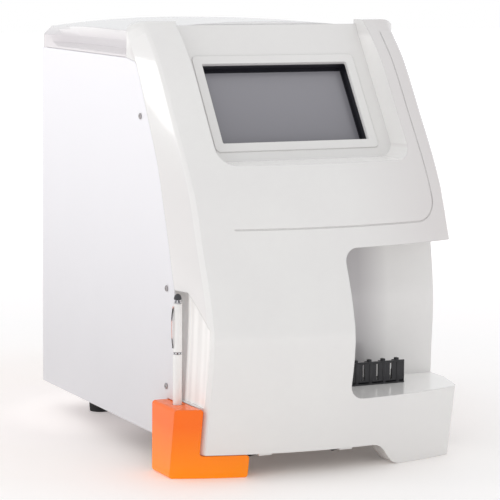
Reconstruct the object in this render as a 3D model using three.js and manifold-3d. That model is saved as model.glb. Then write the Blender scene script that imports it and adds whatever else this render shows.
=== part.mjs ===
// Benchtop electrolyte analyzer: a bowed white moulded front with a sunk touch screen, an open
// sample bay with a tube rack, an orange corner block that holds a stylus, sheet metal side and
// rear panels, a crowned moulded cover, and the probe, pump, electrodes and electronics inside.
// Units are millimetres. X runs to the right seen from the front, Y to the back, Z up.
// The base stands on z = 0 and depths are counted back from the foremost line of the front.

import * as THREE from 'three';
import { mergeVertices } from 'three/addons/utils/BufferGeometryUtils.js';
import Module from 'manifold-3d';

const wasm = await Module();
wasm.setup();

// Driving sizes of the whole instrument
const depth = 420;
const bodyWidth = 286;
const height = 412;

// Heights above the bench for an instrument as high as designHeight, which grow with it
const designHeight = 412;
const level = {
  panelTop: 377.3, screenCentreZ: 335.2, screenFieldBottom: 283.5, screenFloorTop: 407.5,
  grooveZ: 226.6, bayBottom: 69.3, bayTop: 208, archZ: 22, blockHeight: 66.3, blockArmZ: 21.4,
  shoulderDrop: 10, nicheTop: 170, nicheFront: 135, stylusBottom: 38, stylusJoint: 113.4,
  stylusShoulder: 160, clipTop: 157.5, clipBottom: 119, pumpZ: 240, probeDip: 30,
  carriageHeight: 9.5, motorHeight: 17, cellLow: 124, cellHeight: 44, bulkheadTop: 277, valveLow: 222, packHeight: 172, boardLow: 58, boardHeight: 196,
  fanZ: 286, sideVentZ: 300, inletZ: 78, portZ: 78, screwLow: 77.8, screwMiddle: 169.4,
  screwHigh: 324.1,
};
Object.keys(level).forEach((key) => {
  level[key] *= height / designHeight;
});

// Walls and clearances shared by all pieces
const skin = 3;
const sheet = 1.5;
const seat = 0.3;
const overrun = 25;
const roundSteps = 18;
const arcSteps = 4;
const cornerSteps = 3;
const slotEndSteps = 2;
const hexSides = 6;

// Front moulding: bow in plan, profile seen from the side, and the returns at both ends
const ridgeHalf = 131;
const bowRadius = 402;
const profileReach = 164;
const frontProfileShares = [
  [0, 0.134], [0.146, 0.067], [0.303, 0], [0.4, 0.052], [0.505, 0.159],
  [0.636, 0.29], [0.803, 0.567], [0.91, 0.756], [0.976, 0.92], [1, 1],
];
const returnLength = 47;
const returnShares = [
  [0, 1], [0.41, 1], [0.52, 0.93], [0.61, 0.92], [0.7, 0.78], [0.8, 0.67], [0.85, 0.61], [1, 0.5],
];
const ridgeRound = 5;
const topRound = 3;
const shoulder = { x: 128, drop: level.shoulderDrop };
const bowSteps = 16;
const lowLevels = 8;
const highLevels = 17;
const edgeLand = 1;

// Side panels, cover and the seam between them
const panelBottom = 27;
const panelTop = level.panelTop;
const coverFront = 195;
const seamCornerRise = 5;
const panelFlange = 12;

// Sunk screen field: a flat floor tilted back, cut into the bow and open at the top
const screen = {
  width: 155, height: 87, sink: 45.8, chordLess: 3.7, centreZ: level.screenCentreZ,
  fieldHalf: 101, fieldBottom: level.screenFieldBottom, fieldRound: 16, rimWidth: 9,
  rimRise: 1.2, rimRound: 5, openingRound: 1.5, floorTop: level.screenFloorTop,
};

// Decorative groove that frames the upper front
const groove = { x: 115.5, z: level.grooveZ, endX: -98, round: 22, width: 1.2, sink: 0.9 };

// Sample bay, open to the front and to the right
const bay = {
  mouthLeft: 4, left: -14, bottom: level.bayBottom, top: level.bayTop, mouthRound: 14,
  innerRound: 20, depth: 104,
};
const bayWallShares = [[0, 0.984], [0.23, 0.975], [0.42, 0.96], [0.6, 0.967], [0.8, 1], [1, 1.045]];
const bayLevels = 10;

// Arch under the front edge and the moulded foot at its right end
const arch = { z: level.archZ, bendX: 34, footX: 68, lip: 45, steps: 10 };
const tab = { x: -73.5, pitch: 80, width: 13, drop: 2, length: 8, thickness: 2 };

// Orange corner block with its foot arm, and the niche above it for the stylus
const block = {
  proud: 15.5, width: 24.6, height: level.blockHeight, armX: -89.5, armZ: level.blockArmZ,
  armBack: 52, round: 3, tubeWall: 1.6,
};
const niche = {
  top: level.nicheTop, wallX: -127.5, endX: -131, pastSeam: 10.4, blockPast: 14.4, lean: 3.4,
  frontZ: level.nicheFront, brow: 60, cornerWidth: 9, cornerDepth: 18, levels: 4, ridge: 22,
};
const stylus = {
  x: -145.5, back: 65.9, radius: 4.1, bottom: level.stylusBottom, joint: level.stylusJoint,
  ringHeight: 1.6, shoulder: level.stylusShoulder, collarHeight: 3, tipRadius: 3.6, tipHeight: 5.4,
  holeGap: 0.5, taper: 0.5, neck: 2.6,
};
const clip = {
  width: 2.6, thickness: 0.8, top: level.clipTop, bottom: level.clipBottom, stand: 0.8, footHeight: 4,
};

// Sample rack and its tunnel behind the front wall
const rack = {
  pitch: 14.75, wells: 6, lastX: 77.6, endWall: 7.1, front: 65, depth: 24, height: 24,
  wall: 1.6, floor: 3, finWidth: 5, finDepth: 7, finRise: 2, rearHeight: 9, slitWidth: 2.2, slitLow: 5,
  slitHigh: 18.6, ribRise: 1.2, travelIn: 73.75,
};
const tunnel = { gap: 0.5, wall: 1.6, headroom: 3, endGap: 3 };

// Probe drive above the bay
const probe = {
  tipGap: 10.4, radius: 0.8, holeRadius: 3, frameX: 18, frameBack: 95, frameFront: 66,
  plate: 3, rodX: 10, rodRadius: 2, screwRadius: 2.5, dip: level.probeDip, clear: 1,
  carriageHeight: level.carriageHeight, carriageDepth: 14, carriageHalf: 15, motorHalf: 10,
  motorHeight: level.motorHeight, run: 0.35,
};

// Peristaltic pump
const pump = {
  x: -76, z: level.pumpZ, front: 70, depth: 24, radius: 31, bore: 25, floor: 3, motorRadius: 17,
  hubRadius: 17.5, plate: 3, rollerRadius: 5, rollerOrbit: 17, rollers: 3, shaft: 3, ear: 9,
  pinRadius: 1.7, sideGap: 1,
};

// Electrode module
const cell = {
  left: -118, width: 15, count: 5, front: 84, depth: 30, low: level.cellLow, height: level.cellHeight,
  endPlate: 5, base: 6, bore: 1.5, nubRadius: 4, nubHeight: 8, gap: 0.4, round: 3, rail: 8,
};
const electrodeNames = ['sodium', 'potassium', 'chloride', 'calcium', 'reference'];

// Sheet metal inside: base plate and bulkhead
const base = { plate: 2, front: 64, frontHalf: 112, neckBack: 128 };
const bulkhead = { back: 128, plate: 2, top: level.bulkheadTop, flange: 14, standoff: 8, standoffRadius: 3 };
const rearPanel = { inset: 5 };

// Modules inside
const valve = {
  x: 62, low: level.valveLow, width: 34, height: 30, depth: 26, coilRadius: 10, coilHeight: 16,
};
const pack = {
  left: -136, width: 92, front: 142, depth: 160, height: level.packHeight, round: 6, capRadius: 11,
  capHeight: 9,
};
const board = {
  left: 4, width: 128, low: level.boardLow, height: level.boardHeight, thickness: 1.6, chip: 22,
  chipRise: 3, sinkWidth: 40,
  sinkHeight: 30, sinkRise: 14, fins: 6, finGap: 3.6, inset: 8, plugWidth: 30, plugDepth: 9, plugRise: 11,
};
const supply = {
  left: 34, width: 98, behind: 34, depth: 96, height: 42, slots: 7, slotWidth: 4, slotPitch: 10,
  slotLength: 26,
};
const fan = {
  x: 74, z: level.fanZ, size: 60, depth: 15, bore: 28, hub: 12, blades: 7, bladeThickness: 1.4,
  bladeTwist: 38, tipGap: 1, holeInset: 5, holeRadius: 2.1, hubDepth: 12, strut: 3,
};
const bladeDepthShare = 0.95;
const vent = { slotWidth: 3.6, pitch: 7, radius: 27, count: 7 };
const sideVent = { x: -66, z: level.sideVentZ, rows: 5, width: 84, pitch: 10, slot: 4 };
const inlet = {
  x: 74, z: level.inletZ, width: 27, height: 48, flange: 4, flangeDepth: 2.5, body: 22, socketWidth: 20,
  socketHeight: 15, socketDepth: 17, socketZ: -10, pinWidth: 2, pinHeight: 4, pinPitch: 7,
  rockerZ: 14, rockerWidth: 16, rockerHeight: 11, rockerDepth: 6, wall: 2, pivot: 1.4,
  pinLength: 12,
};
const port = {
  x: -66, z: level.portZ, width: 31, height: 12.5, thickness: 1, shellWidth: 17, shellHeight: 8.4,
  shellRise: 4, shellWall: 0.8, body: 9, screwPitch: 25, screwRadius: 2.2,
};
const foot = { x: 98, fromRear: 49, radius: 13, baseRadius: 11, lip: 3 };
const panelScrew = {
  headRadius: 3, headHeight: 1.4, shankRadius: 1.4, length: 7, holeGap: 0.3,
  inset: 17, baySide: 9, heights: [level.screwLow, level.screwMiddle, level.screwHigh],
  lugHalf: 6, lug: 3.5, lugReach: 3,
};

// Display stack behind the screen field
const display = {
  frameDepth: 9, frameGrow: 10, glassGrow: 6, glass: 1.8, module: 6, moduleGrow: 8, openingGap: 0.5,
};

// Top cover
const cover = {
  edgeDrop: 10, crown: 8.5, edgeHalf: 134, scoop: 12, rearDrop: 3, fromRear: 4, levels: 16, crownSteps: 8,
};
const rearDropShares = [[0, 0], [0.55, 0.05], [1, 1]];
const coverSideShares = { low: 0.12, lipRise: 0.3, lipReach: 0.8, middle: 0.6, top: 0.85 };
const scoopShares = [[0, 0], [0.012, 0.5], [0.05, 1], [0.55, 1], [0.78, 0.75], [0.87, 0], [1, 0]];

const sideX = bodyWidth / 2;

/** Depth behind the foremost line as a Y place. */
function fromFront(back) {
  return -depth / 2 + back;
}

/** Smooth value of a table of [place, value] pairs at a place. */
function smoothTable(table, place) {
  const last = table.length - 1;
  if (place <= table[0][0]) return table[0][1];
  if (place >= table[last][0]) return table[last][1];
  let i = 0;
  while (place > table[i + 1][0]) i += 1;
  const slope = (k) => {
    const a = table[Math.max(k - 1, 0)];
    const b = table[Math.min(k + 1, last)];
    return (b[1] - a[1]) / (b[0] - a[0]);
  };
  const [x0, y0] = table[i];
  const [x1, y1] = table[i + 1];
  const step = x1 - x0;
  const t = (place - x0) / step;
  const t2 = t * t;
  const t3 = t2 * t;
  return (2 * t3 - 3 * t2 + 1) * y0 + (t3 - 2 * t2 + t) * step * slope(i)
    + (3 * t2 - 2 * t3) * y1 + (t3 - t2) * step * slope(i + 1);
}

/** How far the middle of the front lies behind the foremost line at height z. */
function profileBack(z) {
  return profileReach * smoothTable(frontProfileShares, z / height);
}

/** How far the bow falls back at distance x from the middle. */
function bow(x) {
  return bowRadius - Math.sqrt(bowRadius * bowRadius - x * x);
}

/** Depth at which the return behind the ridge meets the side plane at height z. */
function returnBack(z) {
  return profileBack(z) + bow(ridgeHalf) + returnLength * smoothTable(returnShares, z / height);
}

/** Depth of the seam between the front moulding and the side panel at height z. */
function seamBack(z) {
  const lowEnd = panelTop - seamCornerRise;
  if (z >= panelTop) return coverFront - seat;
  if (z <= lowEnd) return returnBack(z);
  const t = (z - lowEnd) / seamCornerRise;
  const start = returnBack(lowEnd);
  return start + (coverFront - seat - start) * (1 - Math.sqrt(1 - t * t));
}

/** Depth of the niche's back wall. */
function nicheBack() {
  return seamBack(niche.top) + niche.pastSeam;
}

/** Depth of the corner block's rear face. */
function blockBack() {
  return seamBack(niche.top) + niche.blockPast;
}

/** Turns a closed three.js geometry into a solid that can be joined and cut. */
function toSolid(geometry) {
  const bare = geometry.clone();
  bare.deleteAttribute('normal');
  bare.deleteAttribute('uv');
  const merged = mergeVertices(bare);
  const index = merged.index ? merged.index.array : merged.attributes.position.array.keys();
  return new wasm.Manifold(new wasm.Mesh({
    numProp: 3,
    vertProperties: new Float32Array(merged.attributes.position.array),
    triVerts: new Uint32Array(index),
  }));
}

/** Turns a solid back into a geometry for a mesh. */
function toGeometry(solid) {
  const mesh = solid.getMesh();
  const geometry = new THREE.BufferGeometry();
  geometry.setAttribute('position', new THREE.BufferAttribute(new Float32Array(mesh.vertProperties), 3));
  geometry.setIndex(new THREE.BufferAttribute(new Uint32Array(mesh.triVerts), 1));
  geometry.computeVertexNormals();
  return geometry;
}

/** Joins solids into one. */
function join(...solids) {
  return solids.reduce((whole, piece) => whole.add(piece));
}

/** Cuts every tool out of a solid. */
function cut(solid, ...tools) {
  return tools.reduce((whole, tool) => whole.subtract(tool), solid);
}

/** A block between two corners. */
function blockBetween(x0, x1, y0, y1, z0, z1) {
  const geometry = new THREE.BoxGeometry(x1 - x0, y1 - y0, z1 - z0);
  geometry.translate((x0 + x1) / 2, (y0 + y1) / 2, (z0 + z1) / 2);
  return toSolid(geometry);
}

/** A round bar along Z between two heights. */
function barZ(x, y, radius, z0, z1, topRadius = radius, steps = roundSteps) {
  const geometry = new THREE.CylinderGeometry(topRadius, radius, z1 - z0, steps);
  geometry.rotateX(Math.PI / 2);
  geometry.translate(x, y, (z0 + z1) / 2);
  return toSolid(geometry);
}

/** A round bar along Y between two depths. */
function barY(x, z, radius, y0, y1, steps = roundSteps) {
  const geometry = new THREE.CylinderGeometry(radius, radius, y1 - y0, steps);
  geometry.translate(x, (y0 + y1) / 2, z);
  return toSolid(geometry);
}

/** A round bar along X between two places. */
function barX(y, z, radius, x0, x1, steps = roundSteps) {
  const geometry = new THREE.CylinderGeometry(radius, radius, x1 - x0, steps);
  geometry.rotateZ(Math.PI / 2);
  geometry.translate((x0 + x1) / 2, y, z);
  return toSolid(geometry);
}

/** Extrudes a shape along its own Z and moves it by a matrix. */
function extrude(shape, length, matrix, curveSegments = arcSteps) {
  const geometry = new THREE.ExtrudeGeometry(shape, { depth: length, bevelEnabled: false, curveSegments });
  geometry.applyMatrix4(matrix);
  return toSolid(geometry);
}

/** A prism along Z of a shape drawn in X and Y. */
function prismZ(shape, z0, z1, curveSegments) {
  return extrude(shape, z1 - z0, new THREE.Matrix4().makeTranslation(0, 0, z0), curveSegments);
}

/** A prism along Y of a shape drawn in X and Z. */
function prismY(shape, y0, y1, curveSegments) {
  const turn = new THREE.Matrix4().makeRotationX(Math.PI / 2);
  turn.premultiply(new THREE.Matrix4().makeTranslation(0, y1, 0));
  return extrude(shape, y1 - y0, turn, curveSegments);
}

/** A prism along X of a shape drawn in Y and Z. */
function prismX(shape, x0, x1, curveSegments) {
  const turn = new THREE.Matrix4().makeBasis(
    new THREE.Vector3(0, 1, 0),
    new THREE.Vector3(0, 0, 1),
    new THREE.Vector3(1, 0, 0),
  );
  turn.setPosition(x0, 0, 0);
  return extrude(shape, x1 - x0, turn, curveSegments);
}

/** A rectangle with round corners. */
function roundRect(x0, y0, x1, y1, r) {
  const shape = new THREE.Shape();
  shape.moveTo(x0 + r, y0);
  shape.lineTo(x1 - r, y0);
  shape.absarc(x1 - r, y0 + r, r, -Math.PI / 2, 0);
  shape.lineTo(x1, y1 - r);
  shape.absarc(x1 - r, y1 - r, r, 0, Math.PI / 2);
  shape.lineTo(x0 + r, y1);
  shape.absarc(x0 + r, y1 - r, r, Math.PI / 2, Math.PI);
  shape.lineTo(x0, y0 + r);
  shape.absarc(x0 + r, y0 + r, r, Math.PI, 1.5 * Math.PI);
  return shape;
}

/** A shape through a list of [x, y] points. */
function outline(points) {
  return new THREE.Shape(points.map(([x, y]) => new THREE.Vector2(x, y)));
}

/** A closed solid through rings of points, each ring seen anticlockwise from above its end. */
function loft(rings) {
  const count = rings[0].length;
  const positions = [];
  const index = [];
  rings.forEach((ring) => ring.forEach((p) => positions.push(p.x, p.y, p.z)));
  for (let i = 0; i + 1 < rings.length; i += 1) {
    for (let j = 0; j < count; j += 1) {
      const a = i * count + j;
      const b = i * count + ((j + 1) % count);
      index.push(a, b, b + count, a, b + count, a + count);
    }
  }
  const cap = (ring, start, flip) => {
    const centre = ring.reduce((sum, p) => sum.clone().add(p)).divideScalar(count);
    const middle = positions.length / 3;
    positions.push(centre.x, centre.y, centre.z);
    for (let j = 0; j < count; j += 1) {
      const a = start + j;
      const b = start + ((j + 1) % count);
      if (flip) index.push(middle, b, a);
      else index.push(middle, a, b);
    }
  };
  cap(rings[0], 0, true);
  cap(rings[rings.length - 1], (rings.length - 1) * count, false);
  const geometry = new THREE.BufferGeometry();
  geometry.setAttribute('position', new THREE.BufferAttribute(new Float32Array(positions), 3));
  geometry.setIndex(index);
  return toSolid(geometry);
}

/** Plan of the front moulding at height z, inset by a wall, closed along a straight back line. */
function frontRing(z, inset, backPlace, level = z) {
  const slope = (profileBack(z + 1) - profileBack(z - 1)) / 2;
  const faceInset = inset * Math.sqrt(1 + slope * slope);
  const side = sideX - inset;
  const ridge = ridgeHalf - inset;
  const face = (x) => fromFront(profileBack(z) + bow(x) + faceInset);
  const seam = fromFront(seamBack(z));
  const bend = fromFront(Math.min(returnBack(z), seamBack(z))) - edgeLand;
  const turn = ridgeRound / returnLength;
  const half = [
    [side, Math.max(backPlace, seam)],
    [side, bend],
    [ridge + (side - ridge) * turn, face(ridge) + (bend - face(ridge)) * turn],
  ];
  const front = [];
  for (let i = 0; i <= bowSteps; i += 1) {
    const x = (ridge - ridgeRound / 2) * (1 - (2 * i) / bowSteps);
    front.push([x, face(x)]);
  }
  const mirrored = half.map(([x, y]) => [-x, y]).reverse();
  const ring = [...half, ...front, ...mirrored].reverse();
  return ring.map(([x, y]) => new THREE.Vector3(x, y, level));
}

/** Places between two ends, both included, in equal steps. */
function evenly(from, to, steps) {
  return Array.from({ length: steps + 1 }, (_, i) => from + ((to - from) * i) / steps);
}

/** Solid behind the bowed front, from a bottom to a top, back to a line that may follow the seam. */
function frontBody(inset, backPlaceAt, bottom, top, rounded) {
  const foremost = frontProfileShares[2][0] * height;
  const lowEnd = panelTop - seamCornerRise;
  const last = rounded ? top - topRound : top;
  const levels = [
    ...evenly(bottom, foremost, lowLevels),
    ...evenly(foremost, lowEnd, highLevels).slice(1),
    panelTop - seamCornerRise / 2,
    ...evenly(panelTop, last, arcSteps),
  ];
  const rings = levels.map((z) => frontRing(z, inset, backPlaceAt(z)));
  if (rounded) rings.push(frontRing(last, inset + topRound / 2, backPlaceAt(top), top));
  return loft(rings);
}

/** Tilt of the screen field's floor: a little less than the chord of the front beside it. */
function fieldTilt() {
  const run = profileBack(screen.floorTop) - profileBack(screen.fieldBottom);
  return Math.atan2(run, screen.floorTop - screen.fieldBottom) - THREE.MathUtils.degToRad(screen.chordLess);
}

/** Depth of the middle of the screen field's floor. */
function fieldBack() {
  return profileBack(screen.centreZ) + screen.sink;
}

/** Box whose rear face is the tilted floor of the screen field, moved back by an offset. */
function aheadOfFloor(offset) {
  const geometry = new THREE.BoxGeometry(2 * height, 2 * height, 2 * height);
  geometry.translate(0, offset - height, 0);
  geometry.rotateX(-fieldTilt());
  geometry.translate(0, fromFront(fieldBack()), screen.centreZ);
  return toSolid(geometry);
}

/** Prism square to the tilted floor, drawn about the middle of the screen. */
function prismOnFloor(shape, front, back) {
  const matrix = new THREE.Matrix4().makeRotationX(Math.PI / 2);
  matrix.premultiply(new THREE.Matrix4().makeTranslation(0, back, 0));
  matrix.premultiply(new THREE.Matrix4().makeRotationX(-fieldTilt()));
  matrix.premultiply(new THREE.Matrix4().makeTranslation(0, fromFront(fieldBack()), screen.centreZ));
  return extrude(shape, back - front, matrix);
}

/** Centred rectangle for the pieces of the screen, grown all round. */
function screenRect(grow, round) {
  const w = screen.width / 2 + grow;
  const h = screen.height / 2 + grow;
  return roundRect(-w, -h, w, h, round);
}

/** Space of the screen field, grown by a wall. */
function screenField(grow) {
  const half = screen.fieldHalf + grow;
  const bottom = screen.fieldBottom - grow;
  const shape = roundRect(-half, bottom, half, height + overrun * 2, screen.fieldRound + grow);
  return prismY(shape, fromFront(-overrun), fromFront(coverFront + overrun)).intersect(aheadOfFloor(grow));
}

/** Groove tool: a thin band that turns one round corner, as deep as the groove sinks. */
function grooveBand() {
  const { x, z, round, width, endX } = groove;
  const top = height + overrun;
  const band = new THREE.Shape();
  band.moveTo(endX, z);
  band.lineTo(x - round, z);
  band.absarc(x - round, z + round, round, -Math.PI / 2, 0);
  band.lineTo(x, top);
  band.lineTo(x - width, top);
  band.lineTo(x - width, z + round);
  band.absarc(x - round, z + round, round - width, 0, -Math.PI / 2, true);
  band.lineTo(endX, z + width);
  return prismY(band, fromFront(-overrun), fromFront(coverFront), arcSteps * 2);
}

/** Space inside the sample bay, grown by a wall, with a back wall that follows a gentle curve. */
function bayRoom(grow, rightX) {
  const low = bay.bottom - grow;
  const high = bay.top + grow;
  const left = bay.left - grow;
  const round = bay.innerRound + grow;
  const rings = [];
  for (let i = 0; i <= bayLevels; i += 1) {
    const z = low + ((high - low) * i) / bayLevels;
    const back = fromFront(bay.depth * smoothTable(bayWallShares, i / bayLevels) + grow);
    const ring = [[left, fromFront(-overrun)], [rightX, fromFront(-overrun)], [rightX, back]];
    for (let k = 0; k <= arcSteps; k += 1) {
      const angle = Math.PI / 2 + ((Math.PI / 2) * k) / arcSteps;
      ring.push([left + round + round * Math.cos(angle), back - round + round * Math.sin(angle)]);
    }
    rings.push(ring.map(([x, y]) => new THREE.Vector3(x, y, z)));
  }
  return loft(rings);
}

/** Outline under the front edge: flat from the left, then an S bend down to the moulded foot. */
function archShape(grow) {
  const { z, bendX, footX } = arch;
  const shape = new THREE.Shape();
  shape.moveTo(-sideX - overrun, -overrun);
  shape.lineTo(footX + grow, -overrun);
  shape.lineTo(footX + grow, 0);
  const middle = (bendX + footX) / 2 + grow;
  shape.bezierCurveTo(middle, 0, middle, z + grow, bendX, z + grow);
  shape.lineTo(-sideX - overrun, z + grow);
  return shape;
}

/** How far the niche's wall leans out at height z, below the place where it meets the ridge. */
function nicheLean(z) {
  const share = (niche.frontZ - z) / (niche.frontZ - block.height);
  return niche.lean * Math.min(Math.max(share, 0), 1);
}

/** Plan of the niche at height z, grown by a wall: a swept wall with a wide rounded rear corner. */
function nicheRing(grow, z) {
  const back = fromFront(nicheBack()) + grow;
  const ridge = fromFront(bow(ridgeHalf));
  const wall = niche.wallX + grow - nicheLean(z);
  const end = niche.endX + grow - nicheLean(z);
  const left = -sideX - overrun;
  const start = back - niche.cornerDepth;
  const shape = new THREE.Shape();
  shape.moveTo(left, fromFront(-overrun));
  shape.lineTo(end, fromFront(-overrun));
  shape.lineTo(end, ridge);
  shape.quadraticCurveTo(wall + (wall - end) / 2, (ridge + start) / 2, wall, start);
  shape.quadraticCurveTo(wall, back, wall - niche.cornerWidth, back);
  shape.lineTo(left, back);
  return shape.getPoints(arcSteps).map((p) => new THREE.Vector3(p.x, p.y, z));
}

/** Side view of the brow that keeps the niche's upper end behind the ridge. */
function nicheBrow(grow) {
  const end = niche.top + overrun * 2;
  const shape = new THREE.Shape();
  shape.moveTo(fromFront(-overrun * 2), niche.frontZ + grow);
  shape.lineTo(fromFront(niche.ridge) - grow, niche.frontZ + grow);
  shape.quadraticCurveTo(
    fromFront((niche.ridge + niche.brow) / 2) - grow,
    (niche.frontZ + niche.top) / 2 + niche.lean + grow,
    fromFront(niche.brow) - grow,
    niche.top + grow,
  );
  shape.lineTo(fromFront(niche.brow) - grow, end);
  shape.lineTo(fromFront(-overrun * 2), end);
  return prismX(shape, -sideX - overrun * 2, -ridgeHalf + overrun, arcSteps);
}

/** Space of the niche for the stylus, grown by a wall. */
function nicheRoom(grow, z0, z1) {
  const rings = evenly(z0, z1, niche.levels).map((z) => nicheRing(grow, z));
  return loft(rings).subtract(nicheBrow(grow));
}

/** Rounds off the upper outer edges of the front moulding, inset by a wall. */
function shoulders(inset) {
  const low = height - shoulder.drop;
  const shape = new THREE.Shape();
  shape.moveTo(sideX - inset, low);
  for (let i = 1; i <= arcSteps + 1; i += 1) {
    const angle = ((Math.PI / 2) * i) / (arcSteps + 1);
    shape.lineTo(
      shoulder.x + (sideX - shoulder.x - inset) * Math.cos(angle),
      low + (shoulder.drop - inset) * Math.sin(angle),
    );
  }
  shape.lineTo(shoulder.x, height + overrun);
  shape.lineTo(sideX + overrun, height + overrun);
  shape.lineTo(sideX + overrun, low);
  const right = prismY(shape, fromFront(-overrun), fromFront(depth));
  return join(right, right.mirror([1, 0, 0]));
}

/** Lug inside the moulding that takes a side panel's screw. */
function screwLug(isLeft, z) {
  const sign = isLeft ? -1 : 1;
  const far = sideX - sheet - seat;
  const [x0, x1] = [sign * far, sign * (far - panelScrew.lug)].sort((a, b) => a - b);
  const place = screwPlace(isLeft, z);
  const half = panelScrew.lugHalf;
  const lug = blockBetween(x0, x1, lugStart(isLeft, z), place + half, z - half, z + half);
  return lug.subtract(barX(
    place, z, panelScrew.shankRadius + panelScrew.holeGap,
    x0 - overrun, x1 + overrun, roundSteps / 2,
  ));
}

/** Where a lug starts: inside the wall that it grows from. */
function lugStart(isLeft, z) {
  if (z > niche.top + panelScrew.lugHalf) return fromFront(seamBack(z) - panelScrew.lugReach);
  return fromFront((isLeft ? nicheBack() : bayWallBack(z)) + skin / 2);
}

/** Depth of the bay's back wall at a height. */
function bayWallBack(z) {
  return bay.depth * smoothTable(bayWallShares, (z - bay.bottom) / (bay.top - bay.bottom));
}

/** Hollow behind the skin, less the walls of the sunk places and the lip along the bottom. */
function fasciaHollow(far) {
  const inner = frontBody(skin, far, -overrun, height - skin, false).subtract(shoulders(skin));
  const lipFront = fromFront(-overrun);
  const lipBack = fromFront(arch.lip);
  return cut(
    inner,
    screenField(skin),
    bayRoom(skin, sideX + overrun),
    nicheRoom(skin, block.height - skin, niche.top + skin),
    prismY(archShape(skin), lipFront, lipBack, arch.steps),
    blockBetween(arch.bendX, sideX, lipFront, lipBack, -overrun, skin),
  );
}

/** Walls of the sunk places, kept inside the outline and behind the side panels' sheets. */
function sunkWalls(outer) {
  const end = () => fromFront(coverFront - seat);
  const wide = frontBody(0, end, 0, height, true);
  const narrow = outer.add(frontBody(sheet + seat, end, 0, height, true));
  return join(
    bayRoom(skin, sideX + overrun).intersect(wide),
    nicheRoom(skin, block.height - skin, niche.top + skin).intersect(narrow),
    screenField(skin).intersect(narrow),
  );
}

/** Groove in the front: the part of the band that lies ahead of the front moved back a little. */
function grooveCut(far) {
  const behind = frontBody(0, far, -overrun, height + overrun * 2, false);
  return grooveBand().subtract(shifted(behind, groove.sink));
}

/** Front moulding with its screen field, bay, niche, arch, foot, tabs and groove. */
function frontFascia() {
  const far = () => fromFront(coverFront + overrun);
  const whole = frontBody(0, (z) => fromFront(seamBack(z)), 0, height, true);
  const outer = whole.subtract(shoulders(0));
  const inner = frontBody(skin, far, -overrun, height - skin, false);
  const rim = prismOnFloor(screenRect(screen.rimWidth, screen.rimRound), -screen.rimRise, skin / 2);
  const walled = cut(join(outer, sunkWalls(outer)), fasciaHollow(far));
  const sunk = cut(
    walled,
    screenField(0),
    bayRoom(0, sideX + overrun).intersect(join(bayMouth(), inner)),
    nicheRoom(0, block.height + seat, niche.top),
    blockSpace(seat),
    prismY(archShape(0), fromFront(-overrun), fromFront(depth), arch.steps),
    fieldTopCut(),
  );
  const finished = cut(
    join(sunk, rim, ...edgeTabs()),
    prismOnFloor(screenRect(0, screen.openingRound), -overrun, overrun),
    grooveCut(far),
    rackPath(),
    barZ(probeX(), rackMiddle(), probe.holeRadius, bay.top - skin, bay.top + skin * 2),
  );
  const lugs = [true, false].flatMap((isLeft) => panelScrew.heights.map((z) => screwLug(isLeft, z)));
  return join(finished, ...lugs);
}

/** Cut that ends the field's floor just above its visible upper edge. */
function fieldTopCut() {
  const half = screen.fieldHalf;
  return blockBetween(-half, half, fromFront(0), fromFront(coverFront), screen.floorTop, height + overrun);
}

/** A solid moved back by a small depth, made again from its own triangles. */
function shifted(solid, back) {
  const geometry = toGeometry(solid);
  geometry.translate(0, back, 0);
  return toSolid(geometry);
}

/** Mouth of the bay through the front wall, open to the right. */
function bayMouth() {
  const right = sideX + overrun;
  const r = bay.mouthRound;
  const shape = new THREE.Shape();
  shape.moveTo(right, bay.bottom);
  shape.lineTo(right, bay.top);
  shape.lineTo(bay.mouthLeft + r, bay.top);
  shape.absarc(bay.mouthLeft + r, bay.top - r, r, Math.PI / 2, Math.PI);
  shape.lineTo(bay.mouthLeft, bay.bottom + r);
  shape.absarc(bay.mouthLeft + r, bay.bottom + r, r, Math.PI, 1.5 * Math.PI);
  return prismY(shape, fromFront(-overrun), fromFront(bay.depth + overrun));
}

/** Tabs under the front edge. */
function edgeTabs() {
  return [0, 1].map((i) => {
    const x = tab.x + tab.pitch * i;
    const y = fromFront(profileBack(arch.z) + bow(x) + skin);
    return blockBetween(
      x - tab.width / 2,
      x + tab.width / 2,
      y,
      y + tab.thickness,
      arch.z - tab.drop,
      arch.z + tab.length,
    );
  });
}

/** Middle of the wells from front to back. */
function rackMiddle() {
  const { front, wall, depth: rackDepth } = rack;
  return fromFront((front + wall + front + rackDepth - wall) / 2);
}

/** Place of the well under the probe. */
function probeX() {
  return rack.lastX - rack.pitch * (rack.wells - 1);
}

/** Ends of the rack. */
function rackEnds() {
  const half = rack.pitch / 2 + rack.endWall;
  return [probeX() - half, rack.lastX + half];
}

/** Way of the rack through the left wall of the bay. */
function rackPath() {
  const g = tunnel.gap;
  return blockBetween(
    bay.left - skin * 2,
    bay.left + bay.innerRound + overrun,
    fromFront(rack.front - rack.ribRise - g),
    fromFront(rack.front + rack.depth + g),
    bay.bottom,
    bay.bottom + rack.height + tunnel.headroom,
  );
}

/** Inner side of the corner block. */
function blockInner() {
  return block.width - block.proud - sideX;
}

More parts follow.
